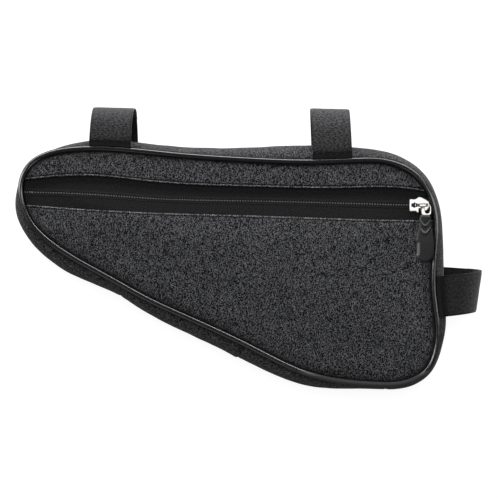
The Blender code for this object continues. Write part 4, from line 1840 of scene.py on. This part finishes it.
@dataclass
class ZipBand:
    """The reversed coil zip: two woven tapes, the coil under them and the rows that sew it on."""

    front: Front
    finishes: Finishes
    thickness: float = 1.0 * MM
    overlap: float = 5.0 * MM
    slit: float = 1.1 * MM
    met: Pair = (-215.0 * MM, 118.0 * MM)
    meeting: Pair = (120.0 * MM, 30.0 * MM)
    slider_at: float = 0.9501
    slider_length: float = 18.6 * MM
    wedge: float = 1.9 * MM
    pitch: float = 2.39 * MM
    head: float = 0.52 * MM
    columns: int = 260
    near_steps: tuple[float, ...] = (0.0, 0.12, 0.35, 0.8, 1.4, 2.0, 2.5, 2.75, 3.0, 3.3, 3.7)
    inset: float = 2.6 * MM
    woven_edge: float = 0.35 * MM
    coil_rise: Triple = (0.24 * MM, 3.1 * MM, 0.7 * MM)
    coil_width: float = 5.4 * MM
    wire: float = 0.35 * MM
    stitch_at: float = 2.3 * MM

    def slider_centre(self) -> Array:
        """The slider's middle in the plane."""
        x = (self.slider_at - 0.5) * self.front.seam.length
        return np.array([x, float(self.front.line(2)(x)[0])])

    def build(self) -> list[Piece]:
        """Makes the tapes, the coil and the stitch rows.

        Returns:
            The pieces.
        """
        made = []
        rows = []
        for side, name, fold in ((1.0, "zip_tape_upper", 1), (-1.0, "zip_tape_lower", 3)):
            made.append(self._tape(side, name, fold))
            rows.append(self._row(side * self.stitch_at, 0.18 * MM))
        tree = stitch_tree(1.7 * MM, 1.35 * MM, 0.15 * MM, self.finishes.thread)
        made.append(place(tree.run("zip_coil_stitch", rows), Slot.TAPE))
        coil = tooth_tree(self.pitch, self.head, self.coil_width, self.wire, self.finishes.coil)
        made.append(place(coil.run("zip_coil_wire", [self._row(0.0, -0.15 * MM)]), Slot.TAPE, ("zip_coil",)))
        return made

    def _tail(self) -> float:
        """X of the slider's tail."""
        return self.slider_centre()[0] - self.slider_length / 2.0

    def _slit(self, side: float) -> Line:
        """The inner edge of a tape, which almost meets the other one and parts round the wedge."""
        start = self._tail()
        parted = self.wedge - self.slit / 2.0
        first, last = self.met
        early, late = self.meeting

        def line(x: Array) -> Array:
            """The edge's Y at each X."""
            x = np.asarray(x)
            opening = parted * smooth((x - start) / (self.slider_length / 2.0))
            met = smooth((x - first) / early) * smooth((last - x) / late)
            return self.front.line(2)(x) + side * (self.slit / 2.0 * (1.0 - 0.7 * met) + opening)

        return line

    def _row(self, offset: float, raised: float) -> Array:
        """A path along the teeth, from the nose to the slider's tail."""
        (_, left), _ = self.front.crossings(self.front.seam.inside(self.inset), self.front.line(2))
        along = np.arange(left[0] + 1.0 * MM, self._tail() + 1.0 * MM, 1.0 * MM)
        points = np.column_stack([along, self.front.line(2)(along) + offset])
        return np.column_stack([points, self.front.tape_top(points) + raised])

    def _tape(self, side: float, name: str, fold: int) -> Piece:
        """One tape, raised over the coil, from its slit to under its panel's fold."""
        inner = self._slit(side)
        outer = self.front.line(fold, side * self.overlap)
        steps = [(step * MM, 0.0) for step in self.near_steps]
        steps += [(steps[-1][0], share) for share in np.linspace(0.0, 1.0, 9)[1:]]
        loop = self.front.seam.inside(self.inset)
        rise, reach, step_width = self.coil_rise
        top, bottom, widths = [], [], []
        for step, share in steps:
            near = side * step * (1.0 - share)
            line: Line = lambda x, n=near, s=share: inner(x) + n + (outer(x) - inner(x)) * s
            (_, left), (_, right) = self.front.crossings(loop, line)
            x = np.linspace(left[0], right[0], self.columns)
            points = np.column_stack([x, line(x)])
            across = np.abs(points[:, 1] - inner(x))
            edge = self.woven_edge * round_off(across / self.woven_edge)
            raised = rise * smooth((reach - across) / step_width) - edge
            height = self.front.tape_top(points)
            top.append(np.column_stack([points, height + raised]))
            bottom.append(np.column_stack([points, height - self.thickness]))
            widths.append(float(np.median(across)))
        rings = np.stack(top + bottom[::-1], axis=1)
        around = np.array(widths + widths[::-1] + widths[:1])
        skin = loft(rings, rings[:, 0, 0], around, closed=False)
        return place(skin.build(f"{name}_cloth", self.finishes.twill), Slot.TAPE, (name,))


PLATE_ROWS = (
    # along, half width: shares of the plate's length and half width, from its tail
    (0.00, 0.70),
    (0.05, 0.76),
    (0.32, 0.78),
    (0.46, 1.00),
    (0.58, 0.99),
    (0.82, 0.72),
    (0.95, 0.52),
    (1.00, 0.40),
)


@dataclass
class Slider:
    """The zip's slider: a domed upper plate with a window, a lower plate, a wedge and a bridge."""

    front: Front
    band: ZipBand
    finishes: Finishes
    length: float = 18.6 * MM
    width: float = 15.0 * MM
    hinge_offset: float = 5.5 * MM
    plate: float = 1.4 * MM
    dome: float = 0.55 * MM
    gap: float = 0.3 * MM
    sides: int = 36
    bridge_tail: float = -1.0 * MM
    bridge_nose: float = 6.4 * MM
    bridge_radius: float = 0.95 * MM
    bridge_bend: float = 1.7 * MM
    bridge_width: float = 1.55
    coil_space: float = 2.0 * MM
    wedge_sunk: float = 0.4 * MM
    bridge_sunk: float = 0.3 * MM
    rounding: Pair = (0.7 * MM, 0.5 * MM)
    window: Triple = (-4.5 * MM, 2.7 * MM, 1.95 * MM)
    window_depth: float = 0.9 * MM
    # The notch stands for the ring's shadow on the plate: a cut that shows the dark tape below.
    notch: Triple = (-0.6 * MM, 1.4 * MM, -2.6 * MM)
    wedge: tuple[Pair, ...] = ((-2.4, 0.5), (-0.6, 1.5), (0.6, 1.5), (2.4, 0.5))

    def hinge(self) -> Array:
        """The point that the tab turns about, in the middle of the bridge."""
        low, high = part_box("pull_tab")
        x, y = self.band.slider_centre()
        return np.array([x + self.hinge_offset, y, (low.z + high.z) / 2.0])

    def build(self) -> list[Piece]:
        """Makes the slider.

        Returns:
            The pieces.
        """
        x, y = self.band.slider_centre()
        ends = np.array([(x + self.length * share, y) for share in (-0.5, -0.25, 0.0, 0.25, 0.5)])
        tape = self.front.tape_top(ends)
        upper = float(tape.max()) + self.gap
        lower = float(tape.min()) - self.band.thickness - self.coil_space - 2.0 * self.gap
        plate = self._plate("slider_upper_plate", upper, self.dome)
        self._cut_window(plate, upper + self.plate)
        under = self._plate("slider_lower_plate", lower - self.plate, 0.0)
        others = (
            under,
            self._wedge(lower - self.wedge_sunk, upper + self.wedge_sunk),
            self._bridge(upper + self.plate - self.bridge_sunk),
            self._pin(upper + self.plate),
        )
        return [place(plate, Slot.NICKEL, ("zip_slider",))] + [place(piece, Slot.NICKEL) for piece in others]

    def _plate(self, name: str, low: float, dome: float) -> Piece:
        """One plate, rounded at its rim and domed across its top."""
        x, y = self.band.slider_centre()
        rings = []
        stations = np.concatenate([[0.0, 0.012, 0.035], np.linspace(0.07, 0.93, 26), [0.965, 0.988, 1.0]])
        reach, drawn_in = self.rounding
        closing = np.minimum(stations, 1.0 - stations) * self.length / reach
        closing = 1.0 - round_off(closing + 0.05)
        widths = column(PLATE_ROWS, 1, stations) * self.width / 2.0
        across, up = squared(turns_of(self.sides), 0.45)
        for share, full, width in zip(stations, closing, widths, strict=True):
            crown = dome * (1.0 - across**2) * (up > 0.0) * full
            along = np.full(self.sides, x + (share - 0.5) * self.length)
            spread = y + across * (width - drawn_in * (1.0 - full))
            rings.append(np.column_stack([along, spread, low + self.plate / 2.0 * (1.0 + up * full) + crown]))
        return tube(rings).build(name, self.finishes.nickel, sharp=METAL_CREASE)

    def _cut_window(self, plate: Piece, top: float) -> None:
        """Cuts the oval window that shows the lock, and the notch, which opens onto the dark tape where the
        ring's shadow falls on the plate; the walls of both cuts take a dark finish that is painted shadow.
        """
        x, y = self.band.slider_centre()
        along, half_length, half_width = self.window
        turns = turns_of(32)
        oval = np.column_stack([x + along + half_length * np.cos(turns), y + half_width * np.sin(turns)])
        first, last, inner = self.notch
        outer = -self.width
        notch = ((first, inner), (last, inner), (last, outer), (first, outer))
        corners = [(x + a, y + b) for a, b in notch]
        for name, shape, low, high in (
            ("window_cutter", oval, -self.window_depth, 2.0 * MM),
            ("notch_cutter", corners, -4.0 * MM, 3.0 * MM),
        ):
            cutter = prism(shape, top + low, top + high).build(name, self.finishes.shadow)
            carve(plate, cutter, "DIFFERENCE")

    def _pin(self, top: float) -> Piece:
        """The lock's pin, a small round bar that stands in the window."""
        x, y = self.band.slider_centre()
        centre = x + self.window[0] + 1.0 * MM
        turns = np.linspace(-1.0, 1.0, 9) * math.pi / 2.0
        height = top - 0.8 * MM + 0.9 * MM * np.cos(turns)
        path = np.column_stack([np.full(9, centre), y + 1.45 * MM * np.sin(turns), height])
        return cord_tree(0.75 * MM, 14, self.finishes.nickel).run("slider_lock_pin", [path])

    def _wedge(self, low: float, high: float) -> Piece:
        """The diamond between the plates, where the tapes part."""
        x, y = self.band.slider_centre()
        middle = x + self.length / 4.0
        both = [*self.wedge, *((a, -b) for a, b in reversed(self.wedge))]
        shape = [(middle + a * MM, y + b * MM) for a, b in both]
        return prism(shape, low, high).build("slider_wedge", self.finishes.nickel)

    def _bridge(self, foot: float) -> Piece:
        """The bar that the tab hangs on, an oval in section."""
        x, y, top = self.hinge()
        x -= self.hinge_offset
        bend = self.bridge_bend
        turns = np.linspace(0.0, math.pi / 2.0, 9)
        corner = np.column_stack([bend * (1.0 - np.cos(turns)), top - bend * (1.0 - np.sin(turns))])
        post = np.vstack([[(0.0, foot), (0.0, (foot + top - bend) / 2.0)], corner])
        run = np.linspace(self.bridge_tail + bend, self.bridge_nose - bend, 18)[1:-1]
        points = np.vstack(
            [
                post + (self.bridge_tail, 0.0),
                np.column_stack([run, np.full(len(run), top)]),
                post[::-1] * (-1.0, 1.0) + (self.bridge_nose, 0.0),
            ]
        )
        tangents = unit(np.gradient(points, axis=0))
        turns = turns_of(16)
        rings = []
        for (a, z), (run, rise) in zip(points, tangents, strict=True):
            up = self.bridge_radius * np.sin(turns)
            side = self.bridge_radius * self.bridge_width * np.cos(turns)
            rings.append(np.column_stack([x + a - rise * up, y + side, z + run * up]))
        return tube(rings).build("slider_bridge", self.finishes.nickel, sharp=METAL_CREASE)


GRIP_ROWS = (
    # along, half width, half thickness, chevron: shares of the grip's length, half width and half thickness
    (0.000, 0.52, 0.50, 0.0),
    (0.010, 0.60, 0.78, 0.0),
    (0.030, 0.62, 0.88, 0.1),
    (0.120, 0.62, 0.86, 0.6),
    (0.215, 0.64, 0.70, 1.0),
    (0.262, 0.66, 1.00, 1.0),
    (0.300, 0.65, 0.60, 1.0),
    (0.375, 0.67, 0.66, 1.0),
    (0.425, 0.68, 1.00, 1.0),
    (0.462, 0.72, 0.62, 1.0),
    (0.500, 0.84, 0.66, 0.9),
    (0.600, 1.00, 0.80, 0.4),
    (0.700, 1.00, 0.84, 0.0),
    (0.830, 1.00, 0.82, 0.0),
    (0.900, 0.92, 0.81, 0.0),
    (0.942, 0.78, 0.80, 0.0),
    (0.975, 0.58, 0.78, 0.0),
    (0.993, 0.36, 0.74, 0.0),
    (1.000, 0.16, 0.60, 0.0),
)


@dataclass
class Pull:
    """The slider's pull: a metal ring through the bridge, and a rubber grip moulded on its tongue."""

    slider: Slider
    finishes: Finishes
    ring_half: Pair = (4.45 * MM, 5.45 * MM)
    ring_middle: Pair = (0.25 * MM, -3.35 * MM)
    hole_half: Pair = (2.35 * MM, 4.18 * MM)
    hole_middle: Pair = (1.25 * MM, -3.2 * MM)
    thickness: float = 1.3 * MM
    dip: float = 1.9 * MM
    grip_start: float = -9.1 * MM
    tongue: Triple = (2.5 * MM, -8.6 * MM, -15.0 * MM)
    grip_length: float = 41.5 * MM
    grip_width: float = 16.0 * MM
    grip_thickness: float = 4.4 * MM
    grip_shift: float = 0.8 * MM
    chevron: float = 6.6 * MM
    bevel: float = 0.85
    bevelled: Pair = (0.60, 0.88)

    def build(self) -> list[Piece]:
        """Makes the tab and the grip.

        Returns:
            The pieces.
        """
        return [
            place(self._tab(), Slot.NICKEL, ("pull_tab",), Body.PULL),
            place(self._grip(), Slot.RUBBER, ("pull_grip",), Body.PULL),
        ]

    def _tab(self) -> Piece:
        """The ring, round in section, with its tongue."""
        x, y, z = self.slider.hinge()
        across, up = squared(turns_of(16), 0.55)
        rings = []
        for turn in ROUND * np.arange(96) / 96:
            outer = self._oval(turn, self.ring_middle, self.ring_half, 2.1 if turn < math.pi / 2.0 else 6.0)
            inner = self._oval(turn, self.hole_middle, self.hole_half, 2.3)
            middle, half = (outer + inner) / 2.0, (outer - inner) / 2.0
            flat = middle[None, :] + across[:, None] * half[None, :]
            under = smooth((flat[:, 1] + 2.7 * MM) / (1.4 * MM))
            under = under * smooth((1.6 * MM - flat[:, 1]) / (1.3 * MM))
            under = under * smooth((2.0 * MM - flat[:, 0]) / (1.2 * MM))
            height = up * self.thickness / 2.0 - self.dip * under
            rings.append(np.column_stack([x + flat[:, 0], y + flat[:, 1], z + height]))
        ring = tube(rings, closed=True).build("pull_ring", self.finishes.nickel, sharp=METAL_CREASE)
        half, root, tip = self.tongue
        shape = [(x + a, y + b) for a, b in ((-half, root), (-half, tip), (half, tip), (half, root))]
        tongue = prism(shape, z - 0.5 * MM, z + 0.5 * MM)
        carve(ring, tongue.build("pull_tongue", self.finishes.nickel), "UNION")
        return ring

    @staticmethod
    def _oval(turn: float, middle: Pair, half: Pair, squareness: float) -> Array:
        """A point of a squared oval."""
        return np.array(middle) + np.array(half) * squared(turn, 2.0 / squareness)

    def _grip(self) -> Piece:
        """The grip, with three chevron ribs above a round-ended paddle."""
        x, y, z = self.slider.hinge()
        x -= self.grip_shift
        start = y + self.grip_start
        across, up = squared(turns_of(40), 0.6)
        places, *columns = np.array(GRIP_ROWS).T
        along = np.unique(np.concatenate([places, np.linspace(0.0, 1.0, 90)]))
        wide, thick, peak = (np.interp(along, places, values) for values in columns)
        first, last = self.bevelled
        rings = []
        for share, width, height, rise in zip(along, wide, thick, peak, strict=True):
            lift = self.chevron * rise * np.abs(across) * min(1.0, share * self.grip_length / self.chevron)
            bevel = self.bevel * float(smooth((share - first) / 0.04) * smooth((last - share) / 0.05))
            face = np.where(up > 0.0, up * (1.0 - bevel * smooth((-across - 0.6) / 0.3)), up)
            spread = x + across * width * self.grip_width / 2.0
            up_down = z + face * height * self.grip_thickness / 2.0
            rings.append(np.column_stack([spread, start - share * self.grip_length + lift, up_down]))
        return tube(rings).build("pull_grip_moulding", self.finishes.rubber, sharp=55.0)


STRAP_ROWS = (
    # name, place on the seam, reach at both edges, shift of the back layer, lean in degrees, width
    ("strap_rear", 0.1043, 37.4 * MM, 37.4 * MM, 2.0 * MM, 1.3, 37.6 * MM),
    ("strap_front", 0.3065, 48.8 * MM, 46.3 * MM, 0.0, 0.4, 35.4 * MM),
    ("strap_side", 0.5005, 45.5 * MM, 39.5 * MM, -6.5 * MM, -4.6, 37.4 * MM),
)

StrapRow = tuple[str, float, float, float, float, float, float]


@dataclass
class Straps:
    """The three closed hook-and-loop straps, each of a long tape over the fold and a short one inside it."""

    front: Front
    finishes: Finishes
    thickness: float = 1.8 * MM
    squareness: float = 2.7
    loop_end: float = 0.76
    hook_start: float = 0.55
    hook_step: float = 0.20
    start: float = 2.6 * MM
    front_height: float = 50.85 * MM
    back_height: float = 2.6 * MM
    rise: float = 4.6 * MM
    columns: int = 28
    steps: int = 110
    # Painted shade: of the inner faces, and each strap's own amount over its outer face.
    inner_face_shade: float = -0.8
    painted_strap_shades: Triple = (-0.2, -0.08, -0.45)
    shed: float = 0.6 * MM
    uneven: Pair = (0.16 * MM, 16.0 * MM)
    deepest: float = -0.1 * MM

    def build(self) -> list[Piece]:
        """Makes all six tapes.

        Returns:
            The pieces.
        """
        made = []
        turns = np.linspace(0.0, 1.0, self.steps + 1)
        outer = turns[turns <= self.loop_end]
        inner = turns[turns >= self.hook_start]
        inset = smooth((1.0 - inner) / self.hook_step) * (self.thickness + self.shed)
        for row, tone in zip(STRAP_ROWS, self.painted_strap_shades, strict=True):
            made.append(self._tape(f"{row[0]}_loop", row, outer * math.pi, np.zeros(len(outer)), tone))
            made.append(self._tape(f"{row[0]}_hook", row, inner * math.pi, inset, tone))
        return made

    def _tape(self, name: str, row: StrapRow, turns: Array, inset: Array, tone: float) -> Piece:
        """One tape, thin at its woven edges."""
        across = np.linspace(-1.0, 1.0, self.columns + 1)
        across = np.sign(across) * (1.0 - (1.0 - np.abs(across)) ** 1.35)
        points, normals = self._surface(row, turns, inset, across / 2.0)
        edge = 1.0 - smooth((np.abs(across) - 0.86) / 0.14)
        half = self.thickness / 2.0 * (0.65 + 0.3 * edge)
        along = walk(lengths(np.diff(points[:, self.columns // 2], axis=0)))
        spread = across * row[6] / 2.0
        grid = np.stack(np.broadcast_arrays(along[:, None], spread[None]), -1).reshape(-1, 2)
        height, spacing = self.uneven
        uneven = height * ripple(grid, spacing, 11).reshape(len(turns), -1) * edge[None]
        outer = points + normals * (half[None, :, None] + np.maximum(uneven, self.deepest)[..., None])
        inner = points - normals * half[None, :, None]
        rings = np.concatenate([outer, inner[:, ::-1]], axis=1)
        around = np.concatenate([spread, spread[::-1], spread[:1]])
        # Painted shade: each strap's outer face is dimmed by its own amount, as the straps lie differently to
        # the light.
        shade = np.full(rings.shape[:2], tone)
        shade[:, : self.columns + 1] -= 0.2 * (1.0 - edge)[None, :]
        # Painted highlight over the upper part of the loop, which turns towards the light, painted shade at
        # its base beside the seam, and the whole outer face dimmed by 0.2.
        painted_light = smooth((turns / math.pi - 0.10) / 0.2) * smooth((0.56 - turns / math.pi) / 0.08)
        base_shade = hump(turns / math.pi, 0.035)
        shade[:, : self.columns + 1] += 0.45 * painted_light[:, None] - 0.45 * base_shade[:, None] - 0.2
        # The inner faces are dark: painted shade inside the loop, which also stands for the hook side's own
        # black.
        shade[:, self.columns + 1 :] = self.inner_face_shade
        skin = loft(rings, along, around, closed=False, shade=shade)
        return place(skin.build(f"{name}_pile", self.finishes.pile, sharp=70.0), Slot.WEBBING, (name,))

    def _surface(self, row: StrapRow, turns: Array, inset: Array, across: Array) -> tuple[Array, Array]:
        """The middle surface of a strap's loop and its directions away from the loop.

        Args:
            row: The strap's row in the table.
            turns: Angles round the loop, from 0 at the front seam to pi at the back seam.
            inset: How far each angle's points lie inside the loop.
            across: Places across the strap, from -0.5 to 0.5.

        Returns:
            The points and the directions, angle by angle and then across.
        """
        _, place_at, first_reach, last_reach, shift, lean, width = row
        total = self.front.seam.along[-1]
        middle, axis = self.front.seam.at(place_at)
        cosine, sine = math.cos(math.radians(lean)), math.sin(math.radians(lean))
        axis = np.array([axis[0] * cosine - axis[1] * sine, axis[0] * sine + axis[1] * cosine])
        along_seam = np.array([axis[1], -axis[0]])
        level, share = squared(turns, 2.0 / self.squareness)
        in_front = turns < math.pi / 2.0
        middle_height = (self.front_height + self.back_height) / 2.0
        z = middle_height + level * (self.front_height - self.back_height) / 2.0
        z = z + self.rise * smooth(share / 0.12) * in_front * level
        columns = []
        for part in across:
            base, out = self.front.seam.at(place_at + part * width / total)
            reach = first_reach + (last_reach - first_reach) * (part + 0.5)
            fold = middle + axis * reach + along_seam * (part * width + shift / 2.0)
            back, back_out = self.front.seam.at(place_at + (part * width + shift) / total)
            ends = np.where(in_front[:, None], base + out * self.start, back + back_out * self.start)
            points = np.column_stack([ends * (1.0 - share[:, None]) + fold * share[:, None], z])
            normals = unit(np.cross(np.gradient(points, axis=0), (*along_seam, 0.0)))
            columns.append((points + normals * inset[:, None], -normals))
        points, normals = (np.stack(found, axis=1) for found in zip(*columns, strict=True))
        return points, normals


@dataclass(frozen=True)
class Softbox:
    """One soft studio light, aimed at the bag's middle: its place and size in metres and its brightness."""

    name: str
    place: Triple
    size: Pair
    radiance: float
    lit: Lit = Lit.ALL
    mirrored: bool = True


@dataclass
class Studio:
    """The plain floor, the soft lights and the camera at the photograph's angle."""

    finishes: Finishes
    target: Triple = (0.0180, 0.01440, 0.052)
    distance: float = 1.4
    tilt: float = 2.5
    turn: float = 1.0
    lens: float = 110.9
    ambient: float = 0.15
    backdrop: float = 0.9
    boxes: tuple[Softbox, ...] = (
        Softbox("top_edge_softbox", (0.0, 1.40, 0.38), (3.0, 0.6), 7.3),
        Softbox("left_softbox", (-1.35, 0.1, 0.60), (1.5, 0.6), 0.7),
        Softbox("overhead_fill", (0.0, 0.8, 1.95), (1.6, 1.6), 3.95, mirrored=False),
        Softbox("metal_card", (0.15, 0.2, 1.9), (2.4, 2.4), 1.25, Lit.METAL),
        Softbox("piping_card_above", (-0.65, 1.30, 0.40), (1.9, 0.5), 8.5, Lit.VINYL),
        Softbox("piping_card_slope", (0.50, 1.30, 0.40), (0.4, 0.3), 6.0, Lit.VINYL),
        Softbox("piping_card_turn", (1.15, 1.25, 0.45), (1.0, 0.4), 10.0, Lit.VINYL),
        Softbox("piping_card_left", (-1.25, 0.3, 0.50), (0.5, 2.6), 8.5, Lit.VINYL),
        Softbox("piping_card_right", (1.2, 0.2, 0.80), (0.5, 2.4), 5.0, Lit.VINYL),
        Softbox("piping_card_below", (-0.75, -1.3, 0.70), (0.9, 0.8), 1.2, Lit.VINYL),
        Softbox("piping_card_heel", (0.85, -1.3, 0.70), (0.7, 0.8), 3.5, Lit.VINYL),
        Softbox("grip_card_left", (-1.2, 0.05, 1.0), (1.2, 1.2), 4.0, Lit.RUBBER),
        Softbox("grip_card_above", (0.15, 1.2, 0.60), (3.2, 0.8), 7.0, Lit.RUBBER),
    )
    made: list[Piece] = field(default_factory=list)
    half_floor: float = 4.0
    floor_drop: float = 0.25 * MM

    def build(self) -> None:
        """Makes the floor, the lights, the world and the camera."""
        self._floor()
        self.made = [self._light(box) for box in self.boxes]
        world = bpy.data.worlds.new("studio_world")
        world.use_nodes = True
        background = world.node_tree.nodes["Background"]
        background.inputs["Color"].default_value = WHITE
        nodes = Nodes(world.node_tree)
        seen = nodes.add("ShaderNodeLightPath", "Is Camera Ray")
        lit = nodes.span(seen, 0.0, 1.0, self.ambient, self.backdrop)
        nodes.tree.links.new(lit, background.inputs["Strength"])
        bpy.context.scene.world = world
        bpy.context.scene.view_settings.view_transform = "Standard"
        self._camera()

    def _floor(self) -> None:
        """A wide table top, just under the bag."""
        half, low = self.half_floor, -self.floor_drop
        mesh = bpy.data.meshes.new("studio_floor")
        corners = [(-half, -half, low), (half, -half, low), (half, half, low), (-half, half, low)]
        mesh.from_pydata(corners, [], [(0, 1, 2, 3)])
        mesh.materials.append(self.finishes.table)
        make_object("studio_floor", mesh)

    def share_out(self, pieces: Sequence[Piece]) -> None:
        """Lets each light fall on its own pieces alone, as flags and cards round a set do.

        Args:
            pieces: All the pieces.
        """
        groups = {lit: bpy.data.collections.new(f"lit_{lit.name.lower()}") for lit in Lit}
        for piece in pieces:
            finishes = {finish.name for finish in piece.data.materials if finish}
            for lit, group in groups.items():
                if lit.value in finishes:
                    group.objects.link(piece)
                if lit is Lit.ALL and Lit.METAL.value in finishes:
                    group.objects.link(piece)
                    group.collection_objects[-1].light_linking.link_state = "EXCLUDE"
        for obj, box in zip(self.made, self.boxes, strict=True):
            obj.light_linking.receiver_collection = groups[box.lit]

    def _light(self, box: Softbox) -> Piece:
        """One softbox."""
        data = bpy.data.lights.new(box.name, "AREA")
        data.shape = "RECTANGLE"
        data.size, data.size_y = box.size
        data.energy = box.radiance * math.pi * box.size[0] * box.size[1]
        obj = make_object(box.name, data)
        obj.location = box.place
        obj.rotation_euler = (Vector(box.place) - Vector(self.target)).to_track_quat("Z", "Y").to_euler()
        obj.visible_glossy = box.mirrored
        return obj

    def _camera(self) -> None:
        """The camera, almost straight above."""
        tilt, turn = math.radians(self.tilt), math.radians(self.turn)
        back = Vector((math.sin(turn), math.sin(tilt) * math.cos(turn), math.cos(tilt) * math.cos(turn)))
        data = bpy.data.cameras.new("camera")
        data.lens = self.lens
        obj = make_object("camera", data)
        obj.location = Vector(self.target) + back * self.distance
        side = Vector((0.0, 1.0, 0.0)).cross(back).normalized()
        axes = Matrix((side, back.cross(side), back)).transposed().to_4x4()
        obj.matrix_world = Matrix.Translation(obj.location) @ axes
        bpy.context.scene.camera = obj


def main() -> None:
    """Builds the bag's sub-assemblies in order and reports each piece."""
    logging.basicConfig(level=logging.INFO, format="%(message)s")
    finishes = Finishes()
    studio = Studio(finishes)
    studio.build()
    front = Front(SeamLine())
    band = ZipBand(front, finishes)
    slider = Slider(front, band, finishes)
    assemblies = (
        FrontPanels(front, finishes),
        BackPanel(front, finishes),
        Gusset(front, finishes),
        Piping(front, finishes),
        band,
        slider,
        Pull(slider, finishes),
        Straps(front, finishes),
    )
    made = []
    for assembly in assemblies:
        pieces = assembly.build()
        made += pieces
        log.info("%s: %d pieces", type(assembly).__name__, len(pieces))
    studio.share_out(made)


if __name__ == "__main__":
    main()
